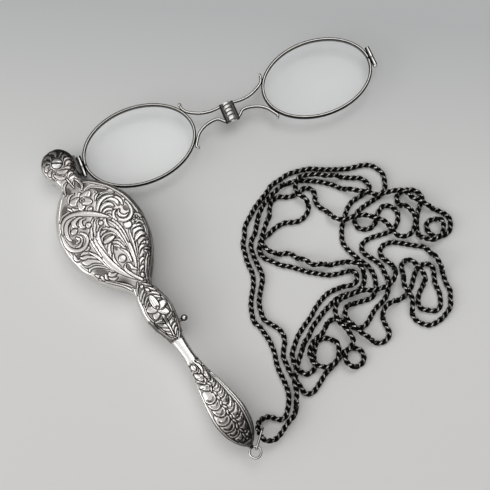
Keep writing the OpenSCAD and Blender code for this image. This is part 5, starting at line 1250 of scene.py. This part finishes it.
# The lower half of the wire's section, from the outside in to the groove: shares of its thickness and height
RIM_SECTION = [(0, -0.22), (0.03, -0.31), (0.12, -0.4), (0.28, -0.47), (0.5, -0.5), (0.72, -0.48),
               (0.88, -0.43), (0.97, -0.36), (1, -0.3), (1, -0.23)]
RIM_SECTION += [(0.65, 0)] + [(inset, -up) for inset, up in RIM_SECTION[::-1]] + [(-0.02, 0)]
RIM_PAINTED_SHADE = ([0.12, 0.35, 0.55, 0.78, 0.95], [1, 0.6, 0.02, 0.4, 1])


def oval(turn, inset):
    """Points of the rim's oval, at their distance inside its outer edge."""
    p = np.stack([RIM_L / 2 * np.cos(turn), RIM_W / 2 * np.sin(turn)], -1)
    n = unit(np.stack([RIM_W * np.cos(turn), RIM_L * np.sin(turn)], -1))
    return p - inset * n


def oval_ring(centre_s, turn, inset, up, share=1):
    """A ring of points on the lens line, a distance inside the rim's outer edge and above its middle."""
    p = share * oval(turn, inset)
    return np.stack([centre_s + p[:, 0], p[:, 1], np.full(len(turn), LENS_Z + up)], 1)


for side, centre_s, split, body in (("near", NEAR_S, math.pi, "near_frame"), ("far", FAR_S, 0, "far_frame")):
    gap = math.asin(RIM_SPLIT / RIM_W)
    turn = split + gap + (2 * math.pi - 2 * gap) * np.linspace(0, 1, RIM_RINGS)
    rings = [oval_ring(centre_s, turn, inset * RIM_T, up * RIM_H) for inset, up in RIM_SECTION]
    # The rim's wire is painted dark along its outer and inner edges and bright along its top: painted shade
    # and highlight.
    tarnish_and_painted_shade = np.interp([inset for inset, up in RIM_SECTION], *RIM_PAINTED_SHADE)
    rim = skin(f"{side}_eye_rim", np.stack(rings, 1))
    mark(rim, "tarnish_and_painted_shade", np.tile(tarnish_and_painted_shade, len(turn)))
    set_on_lens_line(rim)
    rim.data.materials.append(wire_silver)
    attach(rim, body)
    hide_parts(f"{side}_rim")

# Lenses: clear glass ground a little thicker in the middle, bevelled to a V edge that sits in the rim's
# groove. The glass is given a faint glow: a painted reflection of the veil of sky that glass mirrors all
# over.
LENS_T = 1.3
LENS_SHOULDER = 0.3
LENS_EDGE = 0.71
LENS_SIDES = 192
clear_glass, tree, shader = new_material("ground glass, clear", {
    "Base Color": (0.95, 1, 1, 1), "Alpha": 0.05, "Roughness": 0.05, "IOR": 1.5, "Transmission Weight": 0.35,
    "Emission Color": (0.97, 1, 1, 1), "Emission Strength": 0.8})
ripple_glass = add_node(tree, "TexNoise", {"Scale": 30})
ripple_bump = add_node(tree, "Bump", {"Strength": 0.03, "Distance": 0.0002})
wire_nodes(tree, (ripple_glass, "Fac", ripple_bump, "Height"), (ripple_bump, "Normal", shader, "Normal"))
lens_face = [(share, RIM_T + 0.05 * share, LENS_SHOULDER + (LENS_T / 2 - LENS_SHOULDER) * (1 - share ** 2))
             for share in (0.002, 0.16, 0.33, 0.5, 0.66, 0.83, 1)]
lens_side = lens_face + [(1, LENS_EDGE, 0)] + [(share, inset, -up) for share, inset, up in lens_face[::-1]]
for side, centre_s, body in (("near", NEAR_S, "near_frame"), ("far", FAR_S, "far_frame")):
    rings = [oval_ring(centre_s, turns_of(LENS_SIDES), inset, up, share) for share, inset, up in lens_side]
    lens = skin(f"{side}_glass", np.array(rings), flip=True)
    set_on_lens_line(lens)
    lens.data.materials.append(clear_glass)
    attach(lens, body)
    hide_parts(f"{side}_lens")

# Arms: half-round silver wire bent into long curves that hug the rim, with a scrolled end, soldered to the
# leaves of the bridge hinge.
HINGE_TOP = 3.0
HINGE_BOTTOM = -3.8
LEAF_OUT = 2.43
BRIDGE_S = NEAR_S + LENS_GAP / 2
ARM_R = 0.5
ARM_SIDES = 20
ARM_STEPS = 14


def on_way(share):
    """A place between the hinge leaf and the rim, measured from the bridge."""
    return LEAF_OUT + share * ((LENS_GAP - RIM_L) / 2 - LEAF_OUT)


def rim_touch(degrees, out=0, up=0):
    """A place on the arm where it lies against the rim, or beside that, measured from the bridge."""
    p = oval(np.radians(180 - degrees), -ARM_R - 0.02)
    return LENS_GAP / 2 + p[0] + out, p[1] + up


UPPER_ARM = [(LEAF_OUT - 0.3, HINGE_TOP - 0.55), (LEAF_OUT + 1.6, HINGE_TOP - 0.75), (on_way(0.36), 2.25),
             (on_way(0.63), 2.75), (on_way(0.87), 3.75), rim_touch(21), rim_touch(28),
             rim_touch(28, 0.15, 1.4)]
LOWER_ARM = [(LEAF_OUT - 0.3, HINGE_BOTTOM + 0.6), (LEAF_OUT + 0.5, HINGE_BOTTOM + 1.3),
             (LEAF_OUT + 1.7, -1.35), (on_way(0.3), -1.1), (on_way(0.49), -1.3), (on_way(0.73), -2.05),
             (on_way(0.975), -3.75), rim_touch(-26), rim_touch(-30, -0.1, -0.2),
             rim_touch(-31, -0.7, -0.75)]
half_turn = np.linspace(0.05, np.pi - 0.05, 13)
for side, part, points, end_r, body in (("near", "upper", UPPER_ARM, 0.7, "near_frame"),
                                        ("near", "lower", LOWER_ARM, 0.55, "near_frame"),
                                        ("far", "upper", UPPER_ARM, 0.55, "far_frame"),
                                        ("far", "lower", LOWER_ARM, 0.55, "far_frame")):
    way = -1 if side == "near" else 1
    line = smooth_line([(BRIDGE_S + way * x, y, LENS_Z) for x, y in points], ARM_STEPS)
    wide = ARM_R * (0.9 + 0.1 * np.sin(np.pi * np.linspace(0, 1, len(line))))
    wire = skin("wire", wire_rings(line, *sides_of(line), ARM_SIDES, wide[:, None, None], lowest=-0.86))
    # The arm's wire is painted dark on its sides and bright along its top: painted shade and highlight.
    mark(wire, "tarnish_and_painted_shade", np.tile(0.05 + 0.95 * np.abs(np.cos(turns_of(ARM_SIDES))) ** 1.6, len(line)))
    bead_side = end_r * np.stack([np.sin(half_turn), np.cos(half_turn)], 1)
    bead = skin("bead", lathe_rings(bead_side, 2, line[-1], ARM_SIDES), flip=True)
    mark(bead, "tarnish_and_painted_shade", 0.15)
    arm = join_meshes(f"{side}_{part}_scroll", [wire, bead])
    set_on_lens_line(arm)
    arm.data.materials.append(wire_silver)
    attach(arm, body)
    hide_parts(f"{side}_{part}_arm")

# Bridge hinge: two silver leaves with five rounded knuckles between them on one steel pin, which holds the
# small spring that throws the far lens open. The knuckles are worn bright, and the leaves have gone dark.
KNUCKLE_R = 1.2
KNUCKLE_SHOULDER = 1.08
KNUCKLE_L = 1.25
KNUCKLE_GAP = 0.03
KNUCKLE_SIDES = 40
KNUCKLE_BORE = 0.42
KNUCKLE_END = 0.86
KNUCKLE_EDGE = 0.97
EDGE_ROUND = 0.07
LEAF_FACE = 1.28
LEAF_H = 1.35
LEAF_HIGH = MID_Z - 0.1
PIN_R = 0.4
PIN_SIDES = 32
HINGE_AT = (BRIDGE_S, 0, MID_Z)
worn_silver, tree, shader = new_material("worn silver knuckles", {"Metallic": 1, "Roughness": 0.5})
knuckle_mark = add_node(tree, "Attribute", attribute_name="tarnish_and_painted_shade")
dents = add_node(tree, "TexNoise", {"Scale": 1100, "Detail": 4})
dent_part = add_node(tree, "Math", {1: 0.6}, operation="MULTIPLY_ADD")
dent_tone = tone_ramp(tree, (0.2, (0.95, 0.94, 0.92)), (0.9, (0.1, 0.09, 0.085)))
dent_bump = add_node(tree, "Bump", {"Strength": 0.4, "Distance": 0.0001})
wire_nodes(tree, (dents, "Fac", dent_part, 0), (knuckle_mark, "Fac", dent_part, 2),
           (dent_part, 0, dent_tone, "Fac"), (dent_tone, "Color", shader, "Base Color"),
           (dents, "Fac", dent_bump, "Height"), (dent_bump, "Normal", shader, "Normal"))


def leaf_plate(name, from_pin, to_pin, way, lengthways, levels, filed, segments=3):
    """A flat plate between two distances from the pin, filed round along its edges."""
    inner, outer = sorted((BRIDGE_S + way * from_pin, BRIDGE_S + way * to_pin))
    plate = block(name, (inner, lengthways[0], levels[0]), (outer, lengthways[1], levels[1]))
    soften_edges(plate, filed, segments)
    return plate


def hinge_leaf(name, way, rows):
    """A leaf cut from plate, with its own knuckles soldered along it on short webs."""
    plate = leaf_plate("plate", LEAF_FACE, LEAF_OUT, way, (HINGE_BOTTOM, HINGE_TOP),
                       (LEAF_HIGH - LEAF_H, LEAF_HIGH), 0.3, 4)
    from_pin = np.abs(places(plate)[:, 0] - BRIDGE_S)
    mark(plate, "tarnish_and_painted_shade", np.interp(from_pin, [LEAF_FACE, LEAF_OUT], [0.45, 0.95]))
    plate.data.materials.append(wire_silver)
    bits = [plate]
    for row in rows:
        high = HINGE_TOP - row * KNUCKLE_L - KNUCKLE_GAP
        low = (HINGE_TOP - (row + 1) * KNUCKLE_L if row < 4 else HINGE_BOTTOM) + KNUCKLE_GAP
        bulge = [(KNUCKLE_BORE, low + 0.01), (KNUCKLE_END, low), (KNUCKLE_EDGE, low + EDGE_ROUND)]
        for t in np.linspace(0.12, 0.88, 9):
            swell = (KNUCKLE_R - KNUCKLE_SHOULDER) * math.sin(math.pi * t) ** 0.7
            bulge.append((KNUCKLE_SHOULDER + swell, low + t * (high - low)))
        bulge += [(KNUCKLE_EDGE, high - EDGE_ROUND), (KNUCKLE_END, high), (KNUCKLE_BORE, high - 0.01)]
        knuckle = skin("knuckle", lathe_rings(bulge, 1, HINGE_AT, KNUCKLE_SIDES))
        at_end = np.array(bulge)[:, 0] < KNUCKLE_SHOULDER
        mark(knuckle, "tarnish_and_painted_shade", np.repeat(np.where(at_end, 0.8, -0.1), KNUCKLE_SIDES))
        knuckle.data.materials.append(worn_silver)
        web = leaf_plate("web", 0, LEAF_FACE + 0.1, way, (low + 0.03, high - 0.03),
                         (MID_Z - 1, MID_Z - 0.1), 0.1)
        mark(web, "tarnish_and_painted_shade", 0.75)
        web.data.materials.append(wire_silver)
        bits += [knuckle, web]
    leaf = join_meshes(name, bits)
    set_on_lens_line(leaf)
    return leaf


for side, way, rows, body in (("near", -1, (0, 2, 4), "near_frame"), ("far", 1, (1, 3), "far_frame")):
    leaf = hinge_leaf(f"{side}_hinge_leaf", way, rows)
    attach(leaf, body)
    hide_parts(f"{side}_leaf")
pin_side = [(0.3, HINGE_BOTTOM - 0.25), (0.72, HINGE_BOTTOM - 0.24), (0.8, HINGE_BOTTOM - 0.16),
            (0.8, HINGE_BOTTOM - 0.02), (PIN_R, HINGE_BOTTOM), (PIN_R, HINGE_TOP), (0.68, HINGE_TOP),
            (0.72, HINGE_TOP + 0.06), (0.6, HINGE_TOP + 0.19), (0.3, HINGE_TOP + 0.25),
            (0.02, HINGE_TOP + 0.26)]
hinge_pin = skin("hinge_pin", lathe_rings(pin_side, 1, HINGE_AT, PIN_SIDES))
set_on_lens_line(hinge_pin)
hinge_pin.data.materials.append(bright_steel)
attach(hinge_pin, "near_frame")
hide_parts("bridge_pin")

# Release knob: a small silver ball on a stem that comes out through the slot in the cartouche's side. Sliding
# it towards the tail draws the latch back. The ball is turned, with a fine collar where it meets the stem.
KNOB_Y = -27.4
KNOB_R = 1.05
KNOB_SIDES = 40
STEM_SHOWS = 0.7
KNOB_X = float(half_width(KNOB_Y)) + STEM_SHOWS + KNOB_R
knob_side = [(0.51, -KNOB_R - 0.12), (0.62, -KNOB_R - 0.08), (0.64, -KNOB_R + 0.02), (0.56, -KNOB_R + 0.1)]
for b in np.linspace(math.radians(34), math.radians(179), 22):
    knob_side.append((KNOB_R * math.sin(b), -KNOB_R * math.cos(b)))
ball_knob = skin("ball_knob", lathe_rings(knob_side, 0, (KNOB_X, KNOB_Y, MID_Z), KNOB_SIDES))
x, y, z = places(ball_knob).T
collar = x < KNOB_X - KNOB_R + 0.14
# The ball is painted bright on top and dark from a little above its middle down, painted highlight and shade;
# its collar and stem are dark.
mark(ball_knob, "tarnish_and_painted_shade", np.maximum(np.interp((z - MID_Z) / KNOB_R, [0.2, 0.85], [1, 0]), collar))
ball_knob.data.materials.append(wire_silver)
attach(ball_knob, "release")
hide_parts("release_knob")

# Latch spring: a coil of seven turns of steel wire behind the latch, with its end turns closed up. On the
# real part it shortens towards its seat as the knob is drawn back.
COIL_R = 0.75
COIL_WIRE_R = 0.15
COIL_TURNS = 7
COIL_STEPS = 16
COIL_SIDES = 8
CLOSED_UP = 0.06
spring_low, spring_high = np.array(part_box("latch_spring"), float)[:, 1] / MM
t = np.linspace(0, 1, COIL_TURNS * COIL_STEPS + 1)
rise = t - CLOSED_UP * np.sin(2 * np.pi * t)
coil_y = spring_low + COIL_WIRE_R + rise * (spring_high - spring_low - 2 * COIL_WIRE_R)
wind = 2 * np.pi * COIL_TURNS * t
outward = np.stack([np.sin(wind), np.zeros_like(wind), np.cos(wind)], 1)
coil_line = COIL_R * outward + np.stack([np.zeros_like(t), coil_y, np.full_like(t, MID_Z)], 1)
onward = np.cross(unit(np.gradient(coil_line, axis=0)), outward)
coil_spring = skin("coil_spring", wire_rings(coil_line, outward, onward, COIL_SIDES, COIL_WIRE_R))
coil_spring.data.materials.append(dull_steel)
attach(coil_spring, "handle")
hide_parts("latch_spring")
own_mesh(coil_spring)
